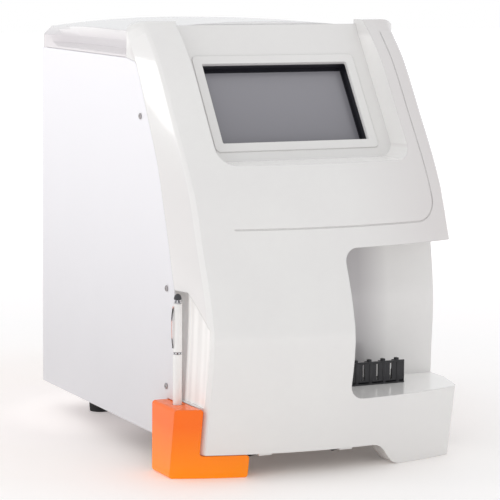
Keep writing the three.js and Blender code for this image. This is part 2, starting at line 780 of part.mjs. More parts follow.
/** Front view of the corner block and its arm, grown all round, down to a chosen height. */
function holderShape(grow, low) {
  const left = -sideX - block.proud - grow;
  const inner = blockInner() + grow;
  const high = block.height + grow;
  const armEnd = block.armX + grow;
  const armTop = block.armZ + grow;
  const r = Math.max(block.round + grow, seat);
  const inside = block.round - Math.min(grow, 0);
  const shape = new THREE.Shape();
  shape.moveTo(left + r, low);
  shape.lineTo(armEnd - r, low);
  shape.absarc(armEnd - r, low + r, r, -Math.PI / 2, 0);
  shape.lineTo(armEnd, armTop - r);
  shape.absarc(armEnd - r, armTop - r, r, 0, Math.PI / 2);
  shape.lineTo(inner + inside, armTop);
  shape.absarc(inner + inside, armTop + inside, inside, 1.5 * Math.PI, Math.PI, true);
  shape.lineTo(inner, high - r);
  shape.absarc(inner - r, high - r, r, 0, Math.PI / 2);
  shape.lineTo(left + r, high);
  shape.absarc(left + r, high - r, r, Math.PI / 2, Math.PI);
  shape.lineTo(left, low + r);
  shape.absarc(left + r, low + r, r, Math.PI, 1.5 * Math.PI);
  return shape;
}

/** Corner block and arm as straight prisms of their own depths, grown all round. */
function holderPrism(grow, low = -grow) {
  const behindArm = blockBetween(
    blockInner() + grow,
    block.armX + overrun,
    fromFront(block.armBack) + grow,
    fromFront(blockBack() + overrun),
    -overrun * 2,
    height,
  );
  const whole = prismY(holderShape(grow, low), fromFront(-overrun), fromFront(blockBack()) + grow);
  return whole.subtract(behindArm);
}

/** Room that the corner block and its arm take in the moulding, with a clearance. */
function blockSpace(gap) {
  return holderPrism(gap, -overrun);
}

/** Orange corner block: an L cut to the bow, hollow from below, with a tube for the stylus. */
function cornerHolder() {
  const hole = stylus.radius + stylus.holeGap;
  const tubeLow = stylus.bottom - seat;
  const middle = fromFront(stylus.back);
  const tube = barZ(stylus.x, middle, hole + block.tubeWall, tubeLow - skin, block.height + overrun);
  const hollow = holderPrism(-skin, -overrun).intersect(bowedSlab(skin)).subtract(tube);
  const solid = holderPrism(0).intersect(bowedSlab(0));
  return cut(solid, hollow, barZ(stylus.x, middle, hole, tubeLow, block.height + overrun));
}

/** Slab behind the bow, for pieces whose face follows the front, inset by a wall. */
function bowedSlab(inset) {
  const x0 = -sideX - block.proud - overrun;
  const x1 = block.armX + overrun;
  const rings = evenly(-overrun * 2, block.height + overrun, bowSteps).map((z) => {
    const ring = evenly(x0, x1, bowSteps).map((x) => (
      new THREE.Vector3(x, fromFront(profileBack(z) + bow(x) + inset), z)
    ));
    ring.push(new THREE.Vector3(x1, fromFront(blockBack() + overrun), z));
    ring.push(new THREE.Vector3(x0, fromFront(blockBack() + overrun), z));
    return ring;
  });
  return loft(rings);
}

/** Section of the cover at one depth: side, scoop, edge and crown, closed along the bottom. */
function coverRing(share, y, inset) {
  const scoop = cover.scoop * Math.max(smoothTable(scoopShares, share), 0);
  const drop = cover.rearDrop * smoothTable(rearDropShares, share);
  const edge = height - cover.edgeDrop - drop - inset;
  const low = panelTop + seat - (inset > 0 ? overrun : 0);
  const side = sideX - inset;
  const rise = edge - panelTop;
  const half = [
    [side, low],
    [side, panelTop + rise * coverSideShares.low],
    [side - scoop * coverSideShares.lipReach, panelTop + rise * coverSideShares.lipRise],
    [side - scoop, panelTop + rise * coverSideShares.middle],
    [Math.min(side - scoop * coverSideShares.top, cover.edgeHalf + topRound), edge - topRound],
    [cover.edgeHalf - inset, edge],
  ];
  const crown = [];
  for (let i = 1; i < cover.crownSteps; i += 1) {
    const t = 1 - (2 * i) / cover.crownSteps;
    const x = (cover.edgeHalf - inset) * t;
    crown.push([x, edge + cover.crown * (1 - t * t)]);
  }
  const mirrored = half.map(([x, z]) => [-x, z]).reverse();
  return [...half, ...crown, ...mirrored].map(([x, z]) => new THREE.Vector3(x, y, z));
}

/** Crowned cover with a scooped grip along each side and a skirt at the back. */
function topCover() {
  const body = (inset, front, back) => {
    const shares = evenly(0, 1, cover.levels);
    return loft(shares.map((share) => coverRing(share, front + (back - front) * share, inset)).reverse());
  };
  const outer = body(0, fromFront(coverFront), fromFront(depth - cover.fromRear));
  return outer.subtract(body(skin, fromFront(coverFront + skin), fromFront(depth - cover.fromRear - skin)));
}

/** Depth of a side panel's front edge on the left, where it runs straight down past the niche. */
function leftEdgeBack(z) {
  return Math.max(seamBack(z), z < niche.top ? seamBack(niche.top) : 0);
}

/** Outline of a side panel in Y and Z: the front edge follows the moulding's seam. */
function panelShape(isLeft) {
  const gap = seat;
  const rear = fromFront(depth);
  const lowEnd = panelTop - seamCornerRise;
  const cornerZ = panelTop - seamCornerRise / 2;
  const points = [
    [rear, panelBottom],
    [rear, panelTop],
    [fromFront(coverFront + gap), panelTop],
    [fromFront(seamBack(cornerZ) + gap), cornerZ - gap],
  ];
  if (isLeft) {
    const step = block.height + gap * 2;
    const behindBlock = fromFront(blockBack() + gap * 2);
    evenly(lowEnd, niche.top, highLevels).forEach((z) => points.push([fromFront(seamBack(z) + gap), z]));
    points.push([fromFront(leftEdgeBack(step) + gap), step]);
    points.push([behindBlock, step]);
    points.push([behindBlock, panelBottom]);
  } else {
    const high = bay.top + skin + gap;
    const low = bay.bottom - skin - gap;
    evenly(lowEnd, high, highLevels).forEach((z) => points.push([fromFront(seamBack(z) + gap), z]));
    const edge = (z) => fromFront(bayWallBack(z) + skin + gap);
    evenly(high, low, bayLevels).forEach((z) => points.push([edge(z), z]));
    evenly(low, panelBottom, arcSteps).forEach((z) => points.push([fromFront(seamBack(z) + gap), z]));
  }
  return outline(points.reverse());
}

/** Depth of a side panel's screw. */
function screwPlace(isLeft, z) {
  const besideBay = !isLeft && z > bay.bottom && z < bay.top;
  if (besideBay) return fromFront(bayWallBack(z) + skin + panelScrew.baySide);
  return fromFront(leftEdgeBack(z) + panelScrew.inset);
}

/** Side panel of sheet metal with bent flanges and screw holes. */
function sidePanel(isLeft) {
  const sign = isLeft ? -1 : 1;
  const between = (a, b) => [Math.min(sign * a, sign * b), Math.max(sign * a, sign * b)];
  const [x0, x1] = between(sideX - sheet, sideX);
  const plate = prismX(panelShape(isLeft), x0, x1);
  const [f0, f1] = between(sideX - panelFlange, sideX - sheet / 2);
  const rear = fromFront(depth - rearPanel.inset - sheet - seat * 2);
  const bottom = blockBetween(f0, f1, fromFront(bulkhead.back), rear, panelBottom, panelBottom + sheet);
  const top = blockBetween(f0, f1, fromFront(coverFront + skin), rear, panelTop - sheet, panelTop);
  const holes = panelScrew.heights.map((z) => {
    const y = screwPlace(isLeft, z);
    return barX(y, z, panelScrew.shankRadius + panelScrew.holeGap, x0 - sheet, x1 + sheet, roundSteps / 2);
  });
  return cut(join(plate, bottom, top), ...holes);
}

/** Pan head screw through a side panel. */
function sideScrew(isLeft, z) {
  const y = screwPlace(isLeft, z);
  const sign = isLeft ? -1 : 1;
  const face = sideX + seat / 2;
  const headFar = face + panelScrew.headHeight;
  const shankEnd = sideX - panelScrew.length;
  const [h0, h1] = [sign * face, sign * headFar].sort((a, b) => a - b);
  const [s0, s1] = [sign * shankEnd, sign * (face + panelScrew.headHeight / 2)].sort((a, b) => a - b);
  const head = barX(y, z, panelScrew.headRadius, h0, h1, roundSteps / 2);
  return head.add(barX(y, z, panelScrew.shankRadius, s0, s1, roundSteps / 2));
}

/** Rear panel with a fan grille, air slots and cut-outs for the inlet and the data port. */
function rearSheet() {
  const back = fromFront(depth - rearPanel.inset);
  const front = back - sheet;
  const half = sideX - sheet - seat;
  const plate = blockBetween(-half, half, front, back, panelBottom + sheet + seat, panelTop - sheet - seat);
  const tools = [];
  const slotHalf = vent.slotWidth / 2;
  for (let i = 0; i < vent.count; i += 1) {
    const off = (i - (vent.count - 1) / 2) * vent.pitch;
    const reach = Math.sqrt(vent.radius * vent.radius - off * off);
    const x = fan.x + off;
    tools.push(prismY(
      roundRect(x - slotHalf, fan.z - reach, x + slotHalf, fan.z + reach, slotHalf - seat / 2),
      front - overrun,
      back + overrun,
      slotEndSteps,
    ));
  }
  const ventHalf = sideVent.width / 2;
  const ventRound = sideVent.slot / 2 - seat / 2;
  for (let i = 0; i < sideVent.rows; i += 1) {
    const z = sideVent.z - sideVent.pitch * i;
    tools.push(prismY(
      roundRect(sideVent.x - ventHalf, z, sideVent.x + ventHalf, z + sideVent.slot, ventRound),
      front - overrun,
      back + overrun,
      slotEndSteps,
    ));
  }
  const w = inlet.width / 2 + seat;
  const h = inlet.height / 2 + seat;
  tools.push(blockBetween(inlet.x - w, inlet.x + w, front - sheet, back + sheet, inlet.z - h, inlet.z + h));
  const pw = port.shellWidth / 2 + seat * 2;
  const ph = port.shellHeight / 2 + seat * 2;
  tools.push(blockBetween(port.x - pw, port.x + pw, front - sheet, back + sheet, port.z - ph, port.z + ph));
  return cut(plate, ...tools);
}

/** Base plate with a narrower tongue under the front. */
function basePlate() {
  const low = panelBottom + sheet + seat;
  const half = sideX - sheet - seat;
  const rear = fromFront(depth - rearPanel.inset) - sheet - seat;
  const shape = outline([
    [-base.frontHalf, fromFront(base.front)],
    [base.frontHalf, fromFront(base.front)],
    [base.frontHalf, fromFront(base.neckBack)],
    [half, fromFront(base.neckBack)],
    [half, rear],
    [-half, rear],
    [-half, fromFront(base.neckBack)],
    [-base.frontHalf, fromFront(base.neckBack)],
  ]);
  return prismZ(shape, low, low + base.plate);
}

/** Height of the top of the base plate. */
function baseTop() {
  return panelBottom + sheet + seat + base.plate;
}

/** Bulkhead that carries the modules, with a foot flange and standoffs for the board. */
function innerBulkhead() {
  const front = fromFront(bulkhead.back);
  const back = front + bulkhead.plate;
  const low = baseTop() + seat;
  const half = sideX - sheet - seat * 2;
  const plate = blockBetween(-half, half, front, back, low, bulkhead.top);
  const flange = blockBetween(-half, half, front, back + bulkhead.flange / 2, low, low + bulkhead.plate);
  const posts = [0, 1].flatMap((i) => [0, 1].map((k) => {
    const x = board.left + board.inset + i * (board.width - 2 * board.inset);
    const z = board.low + board.inset + k * (board.height - 2 * board.inset);
    const start = back - bulkhead.plate / 2;
    return barY(x, z, bulkhead.standoffRadius, start, back + bulkhead.standoff, roundSteps / 2);
  }));
  return join(plate, flange, ...posts);
}

/** Rear rubber foot, wider at the top, under the base plate's corner. */
function rubberFoot(x) {
  const y = fromFront(depth - foot.fromRear);
  const top = panelBottom + sheet;
  return join(
    barZ(x, y, foot.baseRadius, 0, top - foot.lip, foot.radius),
    barZ(x, y, foot.radius, top - foot.lip, top),
  );
}

/** Black frame behind the screen opening. */
function screenFrame() {
  const near = skin + seat;
  const body = prismOnFloor(screenRect(display.frameGrow, screen.rimRound), near, near + display.frameDepth);
  return body.subtract(
    prismOnFloor(screenRect(display.openingGap, screen.openingRound), -overrun, overrun),
  );
}

/** Touch glass behind the frame. */
function touchGlass() {
  const near = skin + seat * 2 + display.frameDepth;
  return prismOnFloor(screenRect(display.glassGrow, screen.openingRound), near, near + display.glass);
}

/** Display module behind the glass. */
function displayModule() {
  const near = skin + seat * 3 + display.frameDepth + display.glass;
  return prismOnFloor(screenRect(display.moduleGrow, screen.openingRound), near, near + display.module);
}

/** Black sample rack: slit front wall with ribs, fins between the wells, floor and low rear wall. */
function sampleRack() {
  const [left, right] = rackEnds();
  const low = bay.bottom + seat;
  const high = low + rack.height;
  const front = fromFront(rack.front);
  const back = front + rack.depth;
  const solids = [
    blockBetween(left, right, front, front + rack.wall, low, high - rack.finRise),
    blockBetween(left, right, front, back, low, low + rack.floor),
    blockBetween(left, right, back - rack.wall, back, low, low + rack.rearHeight),
    blockBetween(left, left + rack.wall, front, back, low, low + rack.rearHeight),
    blockBetween(right - rack.wall, right, front, back, low, low + rack.rearHeight),
    blockBetween(left, left + rack.endWall, front, front + rack.wall + rack.finDepth, low, high),
    blockBetween(right - rack.endWall, right, front, front + rack.wall + rack.finDepth, low, high),
  ];
  for (let i = 0; i <= rack.wells; i += 1) {
    const x = rack.lastX + rack.pitch / 2 - rack.pitch * i;
    solids.push(blockBetween(
      x - rack.finWidth / 2,
      x + rack.finWidth / 2,
      front - rack.ribRise,
      front + rack.wall + rack.finDepth,
      low,
      high,
    ));
  }
  const slits = [];
  for (let i = 0; i < rack.wells; i += 1) {
    const x = rack.lastX - rack.pitch * i;
    slits.push(blockBetween(
      x - rack.slitWidth / 2,
      x + rack.slitWidth / 2,
      front - rack.wall,
      front + rack.wall * 2,
      low + rack.slitLow,
      low + rack.slitHigh,
    ));
  }
  return cut(join(...solids), ...slits);
}

/** Tunnel that takes the rack behind the front wall. */
function rackTunnel() {
  const [rackLeft] = rackEnds();
  const left = rackLeft - rack.travelIn - tunnel.endGap;
  const right = bay.left - skin - seat;
  const g = tunnel.gap;
  const y0 = fromFront(rack.front - rack.ribRise - g);
  const y1 = fromFront(rack.front + rack.depth + g);
  const w = tunnel.wall;
  const low = bay.bottom;
  const high = low + rack.height + tunnel.headroom;
  const outer = blockBetween(left - w, right, y0 - w, y1 + w, low - w, high);
  return outer.subtract(blockBetween(left, right + overrun, y0, y1, low, high + overrun));
}

/** Lower face of the probe's carriage at rest, its dip above the frame's lower arm. */
function carriageLow() {
  return bay.top + skin + seat + probe.plate + probe.dip + probe.clear;
}

/** Top of the probe's frame. */
function probeTop() {
  return carriageLow() + probe.carriageHeight + probe.clear + probe.plate;
}

/** Frame of the probe drive: a back plate with two arms that hold the rod and the screw. */
function probeFrame() {
  const x = probeX();
  const low = bay.top + skin + seat;
  const back = fromFront(probe.frameBack);
  const front = fromFront(probe.frameFront);
  const x0 = x - probe.frameX;
  const x1 = x + probe.frameX;
  const y = rackMiddle();
  const body = join(
    blockBetween(x0, x1, back - probe.plate, back, low, probeTop()),
    blockBetween(x0, x1, front, back, low, low + probe.plate),
    blockBetween(x0, x1, front, back, probeTop() - probe.plate, probeTop()),
  );
  const shaft = probe.screwRadius + probe.run;
  return cut(
    body,
    barZ(x, y, probe.holeRadius, low - overrun, probeTop() + overrun),
    barZ(x + probe.rodX, y, shaft, low - overrun, probeTop() + overrun),
  );
}

/** Guide rod between the arms. */
function probeRod() {
  const low = bay.top + skin + seat + probe.plate + seat;
  const high = probeTop() - probe.plate - seat;
  const x = probeX() - probe.rodX;
  return barZ(x, rackMiddle(), probe.rodRadius, low, high, probe.rodRadius, roundSteps / 2);
}

/** Lead screw that turns in both arms and couples to the motor. */
function probeScrew() {
  const low = bay.top + skin + seat * 2;
  const high = probeTop() + probe.plate;
  const x = probeX() + probe.rodX;
  return barZ(x, rackMiddle(), probe.screwRadius, low, high, probe.screwRadius, roundSteps / 2);
}

/** Motor on the upper arm, with a bore for the screw's end. */
function probeMotor() {
  const x = probeX() + probe.rodX;
  const y = rackMiddle();
  const low = probeTop() + seat;
  const h = probe.motorHalf;
  const body = prismZ(roundRect(x - h, y - h, x + h, y + h, probe.plate), low, low + probe.motorHeight);
  const shaftEnd = probeTop() + probe.plate + seat;
  return body.subtract(barZ(x, y, probe.screwRadius + probe.run, low - overrun, shaftEnd));
}

/** Carriage that slides on the rod and holds the needle. */
function probeCarriage() {
  const x = probeX();
  const y = rackMiddle();
  const d = probe.carriageDepth / 2;
  const low = carriageLow();
  const high = low + probe.carriageHeight;
  const half = probe.carriageHalf;
  const body = prismZ(roundRect(x - half, y - d, x + half, y + d, probe.plate), low, high);
  return cut(
    body,
    barZ(x - probe.rodX, y, probe.rodRadius + probe.run, low - overrun, high + overrun),
    barZ(x + probe.rodX, y, probe.screwRadius + probe.run, low - overrun, high + overrun),
    barZ(x, y, probe.radius + seat, low - overrun, high + overrun),
  );
}

/** Hollow sample needle with its upper end above the carriage. */
function probeNeedle() {
  const tip = bay.bottom + seat + rack.height + probe.tipGap;
  const collar = carriageLow() + probe.carriageHeight + seat;
  const y = rackMiddle();
  return join(
    barZ(probeX(), y, probe.radius, tip, collar + probe.plate, probe.radius, roundSteps / 2),
    barZ(probeX(), y, probe.radius * 2, collar, collar + probe.plate / 2, probe.radius * 2, roundSteps / 2),
  );
}

/** Pump housing: a cup on its side with two mounting ears and tube gaps at the top. */
function pumpHousing() {
  const y0 = fromFront(pump.front);
  const y1 = y0 + pump.depth;
  const reach = pump.radius + pump.ear;
  const ears = prismY(
    roundRect(pump.x - reach, pump.z - pump.ear, pump.x + reach, pump.z + pump.ear, pump.ear / 2),
    y1 - pump.floor,
    y1,
  );
  return cut(
    join(barY(pump.x, pump.z, pump.radius, y0, y1, roundSteps * 1.5), ears),
    barY(pump.x, pump.z, pump.bore, y0 - overrun, y1 - pump.floor, roundSteps * 1.5),
    barY(pump.x, pump.z, pump.shaft + seat, y0, y1 + overrun, roundSteps / 2),
    blockBetween(
      pump.x - pump.bore,
      pump.x + pump.bore,
      y0 + pump.floor * 2,
      y1 - pump.floor * 2,
      pump.z,
      pump.z + pump.radius * 2,
    ),
  );
}

/** Pump rotor: two plates, a shaft and a hub, with pins for the rollers. */
function pumpRotor() {
  const y0 = fromFront(pump.front) + pump.sideGap;
  const y1 = fromFront(pump.front) + pump.depth - pump.floor - pump.sideGap;
  const big = pump.hubRadius + pump.pinRadius * 2;
  const shaftEnd = y1 + pump.sideGap + pump.floor + pump.plate;
  const solids = [
    barY(pump.x, pump.z, big, y0, y0 + pump.plate),
    barY(pump.x, pump.z, big, y1 - pump.plate, y1),
    barY(pump.x, pump.z, pump.shaft * 2, y0, y1, roundSteps / 2),
    barY(pump.x, pump.z, pump.shaft, y1 - pump.plate, shaftEnd, roundSteps / 2),
  ];
  for (let i = 0; i < pump.rollers; i += 1) {
    const [x, z] = rollerPlace(i);
    solids.push(barY(x, z, pump.pinRadius, y0, y1, roundSteps / 2));
  }
  return join(...solids);
}

/** Centre of a pump roller. */
function rollerPlace(i) {
  const angle = (2 * Math.PI * i) / pump.rollers + Math.PI / 2;
  return [pump.x + pump.rollerOrbit * Math.cos(angle), pump.z + pump.rollerOrbit * Math.sin(angle)];
}

/** Roller that runs on a pin of the rotor. */
function pumpRoller(i) {
  const [x, z] = rollerPlace(i);
  const y0 = fromFront(pump.front) + pump.sideGap + pump.plate + seat;
  const y1 = fromFront(pump.front) + pump.depth - pump.floor - pump.sideGap - pump.plate - seat;
  return barY(x, z, pump.rollerRadius, y0, y1, roundSteps).subtract(
    barY(x, z, pump.pinRadius + seat, y0 - overrun, y1 + overrun, roundSteps / 2),
  );
}

/** Pump motor between the housing and the bulkhead. */
function pumpMotor() {
  const y0 = fromFront(pump.front) + pump.depth + seat;
  const y1 = fromFront(bulkhead.back) - seat;
  return barY(pump.x, pump.z, pump.motorRadius, y0, y1).subtract(
    barY(pump.x, pump.z, pump.shaft + seat, y0 - overrun, y0 + pump.plate + seat, roundSteps / 2),
  );
}

/** Right end of the row of electrodes. */
function cellEnd() {
  return cell.left + cell.count * (cell.width + cell.gap) - cell.gap;
}

/** Holder for the electrodes: a base on a rear rail and two end plates. */
function electrodeHousing() {
  const y0 = fromFront(cell.front);
  const y1 = fromFront(bulkhead.back) - seat;
  const x0 = cell.left - seat - cell.endPlate;
  const x1 = cellEnd() + seat + cell.endPlate;
  const low = cell.low - seat - cell.base;
  const high = cell.low + cell.height;
  return join(
    blockBetween(x0, x1, y0, y1, low, low + cell.base),
    blockBetween(x0, x0 + cell.endPlate, y0, y1, low, high),
    blockBetween(x1 - cell.endPlate, x1, y0, y1, low, high),
    blockBetween(x0, x1, y0 + cell.depth + seat, y1, low, high - cell.rail),
  );
}

/** One electrode: a rounded block with a sample bore and a contact nub on top. */
function electrode(i) {
  const x0 = cell.left + i * (cell.width + cell.gap);
  const x1 = x0 + cell.width;
  const y0 = fromFront(cell.front);
  const middle = y0 + cell.depth / 2;
  const plan = roundRect(x0, y0, x1, y0 + cell.depth, cell.round);
  const body = prismZ(plan, cell.low, cell.low + cell.height, cornerSteps);
  const top = cell.low + cell.height;
  const nubTop = top + cell.nubHeight;
  const nubX = (x0 + x1) / 2;
  const nub = barZ(nubX, middle, cell.nubRadius, top - cell.round, nubTop, cell.nubRadius, roundSteps / 2);
  return join(body, nub).subtract(
    barX(middle, cell.low + cell.height / 2, cell.bore, x0 - overrun / 2, x1 + overrun / 2, roundSteps / 2),
  );
}

/** Valve block with its coil, on the bulkhead. */
function valveBlock() {
  const y1 = fromFront(bulkhead.back) - seat;
  const x0 = valve.x - valve.width / 2;
  const bodyTop = valve.low + valve.height / 2;
  const middle = y1 - valve.depth / 2;
  const body = blockBetween(x0, x0 + valve.width, y1 - valve.depth, y1, valve.low, bodyTop);
  const coil = barZ(valve.x, middle, valve.coilRadius, bodyTop - skin, bodyTop + valve.coilHeight);
  return body.add(coil);
}

/** Reagent pack: a rounded carton with two caps. */
function reagentPack() {
  const y0 = fromFront(pack.front);
  const low = baseTop() + seat;
  const carton = prismX(
    roundRect(y0, low, y0 + pack.depth, low + pack.height, pack.round),
    pack.left,
    pack.left + pack.width,
  );
  const caps = [1, 3].map((quarter) => barZ(
    pack.left + pack.width / 2,
    y0 + (pack.depth * quarter) / 4,
    pack.capRadius,
    low + pack.height - skin,
    low + pack.height + pack.capHeight,
  ));
  return join(carton, ...caps);
}

/** Main board with its chips, a finned cooler and a row of plugs, on the bulkhead's standoffs. */
function mainBoard() {
  const y0 = fromFront(bulkhead.back) + bulkhead.plate + bulkhead.standoff + seat;
  const y1 = y0 + board.thickness;
  const over = y1 - board.thickness / 2;
  const x0 = board.left;
  const z0 = board.low;
  const solids = [blockBetween(x0, x0 + board.width, y0, y1, z0, z0 + board.height)];
  const chipX = x0 + board.inset * 2;
  const chipZ = z0 + board.height / 2;
  for (let i = 0; i < 3; i += 1) {
    const x = chipX + i * (board.chip + board.inset);
    solids.push(blockBetween(x, x + board.chip, over, y1 + board.chipRise, chipZ, chipZ + board.chip));
  }
  const sinkX = chipX;
  const sinkZ = z0 + board.height - board.inset * 2 - board.sinkHeight;
  const sinkTop = sinkZ + board.sinkHeight;
  solids.push(blockBetween(sinkX, sinkX + board.sinkWidth, over, y1 + board.chipRise, sinkZ, sinkTop));
  const finStep = board.sinkWidth / board.fins;
  for (let i = 0; i < board.fins; i += 1) {
    const x = sinkX + finStep * i;
    const finEnd = x + finStep - board.finGap;
    solids.push(blockBetween(x, finEnd, over, y1 + board.sinkRise, sinkZ, sinkTop));
  }
  for (let i = 0; i < 3; i += 1) {
    const x = x0 + board.inset + i * (board.plugWidth + board.inset);
    const low = z0 + board.inset;
    const high = low + board.plugDepth;
    solids.push(blockBetween(x, x + board.plugWidth, over, y1 + board.plugRise, low, high));
  }
  return join(...solids);
}

/** Power supply: a vented box on the base plate. */
function powerSupply() {
  const y0 = fromFront(depth - supply.behind - supply.depth);
  const low = baseTop() + seat;
  const high = low + supply.height;
  const x0 = supply.left;
  const x1 = x0 + supply.width;
  const body = blockBetween(x0, x1, y0, y0 + supply.depth, low, high);
  const rear = y0 + supply.depth - sheet;
  const hollow = blockBetween(x0 + sheet, x1 - sheet, y0 + sheet, rear, low + sheet, high - sheet);
  const slots = [];
  for (let i = 0; i < supply.slots; i += 1) {
    const y = y0 + supply.slotPitch * (i + 1);
    const slotEnd = x1 - supply.slotLength;
    const start = x0 + supply.slotLength;
    slots.push(blockBetween(start, slotEnd, y, y + supply.slotWidth, high - sheet * 2, high + overrun));
  }
  return cut(body, hollow, ...slots);
}

/** Inner face of the rear panel. */
function rearInside() {
  return fromFront(depth - rearPanel.inset) - sheet;
}

/** Fan frame with struts that hold the motor boss. */
function fanFrame() {
  const y1 = rearInside() - seat;
  const y0 = y1 - fan.depth;
  const h = fan.size / 2;
  const body = prismY(roundRect(fan.x - h, fan.z - h, fan.x + h, fan.z + h, fan.holeInset), y0, y1);
  const holes = [-1, 1].flatMap((i) => [-1, 1].map((k) => barY(
    fan.x + i * (h - fan.holeInset),
    fan.z + k * (h - fan.holeInset),
    fan.holeRadius,
    y0 - overrun,
    y1 + overrun,
    roundSteps / 2,
  )));
  const strutHalf = fan.strut / 2;
  const strutLow = y1 - strutHalf;
  const span = h - fan.tipGap;
  const struts = [
    blockBetween(fan.x - span, fan.x + span, strutLow, y1, fan.z - strutHalf, fan.z + strutHalf),
    blockBetween(fan.x - strutHalf, fan.x + strutHalf, strutLow, y1, fan.z - span, fan.z + span),
    barY(fan.x, fan.z, fan.hub, strutLow, y1),
  ];
  const ring = cut(body, barY(fan.x, fan.z, fan.bore, y0 - overrun, y1 + overrun, roundSteps * 1.5));
  return cut(join(ring, ...struts), ...holes);
}

/** Fan rotor: a hub cup with twisted blades. */
function fanRotor() {
  const y1 = rearInside() - seat - fan.strut / 2 - fan.tipGap;
  const y0 = y1 - fan.hubDepth;
  const solids = [barY(fan.x, fan.z, fan.hub, y0, y1)];
  const bladeSpan = fan.bore - fan.tipGap - fan.hub + fan.bladeThickness;
  for (let i = 0; i < fan.blades; i += 1) {
    const blade = new THREE.BoxGeometry(bladeSpan, fan.bladeThickness, fan.hubDepth * bladeDepthShare);
    blade.rotateX(Math.PI / 2 - THREE.MathUtils.degToRad(fan.bladeTwist));
    blade.translate(fan.hub - fan.bladeThickness + bladeSpan / 2, 0, 0);
    blade.rotateY((2 * Math.PI * i) / fan.blades);
    blade.translate(fan.x, (y0 + y1) / 2, fan.z);
    solids.push(toSolid(blade));
  }
  return join(...solids);
}

/** Mains inlet: flanged body with a pin socket and a window for the rocker. */
function powerInlet() {
  const face = fromFront(depth - rearPanel.inset) + seat;
  const outer = face + inlet.flangeDepth;
  const w = inlet.width / 2;
  const h = inlet.height / 2;
  const f = inlet.flange;
  const inFlange = face + inlet.flangeDepth / 2;
  const solids = [
    prismY(roundRect(inlet.x - w - f, inlet.z - h - f, inlet.x + w + f, inlet.z + h + f, f), face, outer),
    blockBetween(inlet.x - w, inlet.x + w, face - inlet.body, inFlange, inlet.z - h, inlet.z + h),
  ];
  const socketZ = inlet.z + inlet.socketZ;
  const sw = inlet.socketWidth / 2;
  const sh = inlet.socketHeight / 2;
  const socketFloor = outer - inlet.socketDepth;
  const mouth = roundRect(inlet.x - sw, socketZ - sh, inlet.x + sw, socketZ + sh, inlet.wall);
  const socket = prismY(mouth, socketFloor, outer + overrun, cornerSteps);
  const rockerZ = inlet.z + inlet.rockerZ;
  const rw = inlet.rockerWidth / 2 + seat * 2;
  const rh = inlet.rockerHeight / 2 + seat * 4;
  const well = blockBetween(
    inlet.x - rw,
    inlet.x + rw,
    outer - inlet.rockerDepth - inlet.wall * 2,
    outer + overrun,
    rockerZ - rh,
    rockerZ + rh,
  );
  const [axisZ, axisY] = rockerAxis();
  const pivotHalf = rw + inlet.wall / 2;
  const pivot = barX(
    axisY, axisZ, inlet.pivot, inlet.x - pivotHalf, inlet.x + pivotHalf, roundSteps / 2,
  );
  const pins = [-1, 0, 1].map((i) => {
    const z = socketZ + (i === 0 ? inlet.pinHeight / 2 : -inlet.pinHeight / 2);
    const x = inlet.x + i * inlet.pinPitch;
    return blockBetween(
      x - inlet.pinWidth / 2,
      x + inlet.pinWidth / 2,
      socketFloor - inlet.wall / 2,
      socketFloor + inlet.pinLength,
      z - inlet.pinHeight / 2,
      z + inlet.pinHeight / 2,
    );
  });
  return join(cut(join(...solids), socket, well), pivot, ...pins);
}

/** Height and depth of the rocker's axis. */
function rockerAxis() {
  const outer = fromFront(depth - rearPanel.inset) + seat + inlet.flangeDepth;
  return [inlet.z + inlet.rockerZ, outer - inlet.rockerDepth / 2];
}

/** Rocker of the power switch, a shallow V with a bore for its pivot. */
function powerRocker() {
  const [z, y] = rockerAxis();
  const h = inlet.rockerHeight / 2;
  const w = inlet.rockerWidth / 2;
  const d = inlet.rockerDepth / 2;
  const lift = d / 3;
  const shape = outline([
    [y - d, z - h], [y + d - lift, z - h], [y + d - lift * 2, z], [y + d + lift / 2, z + h], [y - d, z + h],
  ]);
  return prismX(shape, inlet.x - w, inlet.x + w).subtract(
    barX(y, z, inlet.pivot + seat, inlet.x - w - overrun / 2, inlet.x + w + overrun / 2, roundSteps / 2),
  );
}

/** Data port: metal shell on a plate with two jack screws, from inside the rear panel. */
function dataPort() {
  const inside = rearInside() - seat;
  const outer = rearInside() + sheet + port.shellRise / 2;
  const w = port.width / 2;
  const h = port.height / 2;
  const plate = blockBetween(port.x - w, port.x + w, inside - port.thickness, inside, port.z - h, port.z + h);
  const sw = port.shellWidth / 2;
  const sh = port.shellHeight / 2;
  const shellShape = (inset) => outline([
    [port.x - sw + sheet + inset, port.z - sh + inset],
    [port.x + sw - sheet - inset, port.z - sh + inset],
    [port.x + sw - inset, port.z + sh - inset],
    [port.x - sw + inset, port.z + sh - inset],
  ]);
  const shell = prismY(shellShape(0), inside - port.thickness / 2, outer).subtract(
    prismY(shellShape(port.shellWall), inside, outer + overrun),
  );
  const inPlate = inside - port.thickness / 2;
  const bodyEnd = inside - port.thickness - port.body;
  const nutEnd = inside - port.thickness - port.body / 2;
  const body = blockBetween(port.x - sw, port.x + sw, bodyEnd, inPlate, port.z - sh, port.z + sh);
  const nuts = [-1, 1].map((i) => {
    const x = port.x + (i * port.screwPitch) / 2;
    return barY(x, port.z, port.screwRadius, nutEnd, inPlate, hexSides);
  });
  return join(plate, shell, body, ...nuts);
}

/** Turned piece of the stylus from a list of [radius, height] points. */
function stylusTurned(points, steps = roundSteps) {
  const geometry = new THREE.LatheGeometry(points.map(([r, z]) => new THREE.Vector2(r, z)), steps);
  geometry.rotateX(Math.PI / 2);
  geometry.translate(stylus.x, fromFront(stylus.back), 0);
  return toSolid(geometry);
}

/** Lower barrel, which tapers into the hole. */
function stylusLower() {
  const { radius, bottom, joint, taper } = stylus;
  return stylusTurned([
    [0, bottom], [radius / 2, bottom], [radius - taper, bottom + radius],
    [radius, bottom + radius * 4], [radius, joint - seat], [0, joint - seat],
  ]);
}

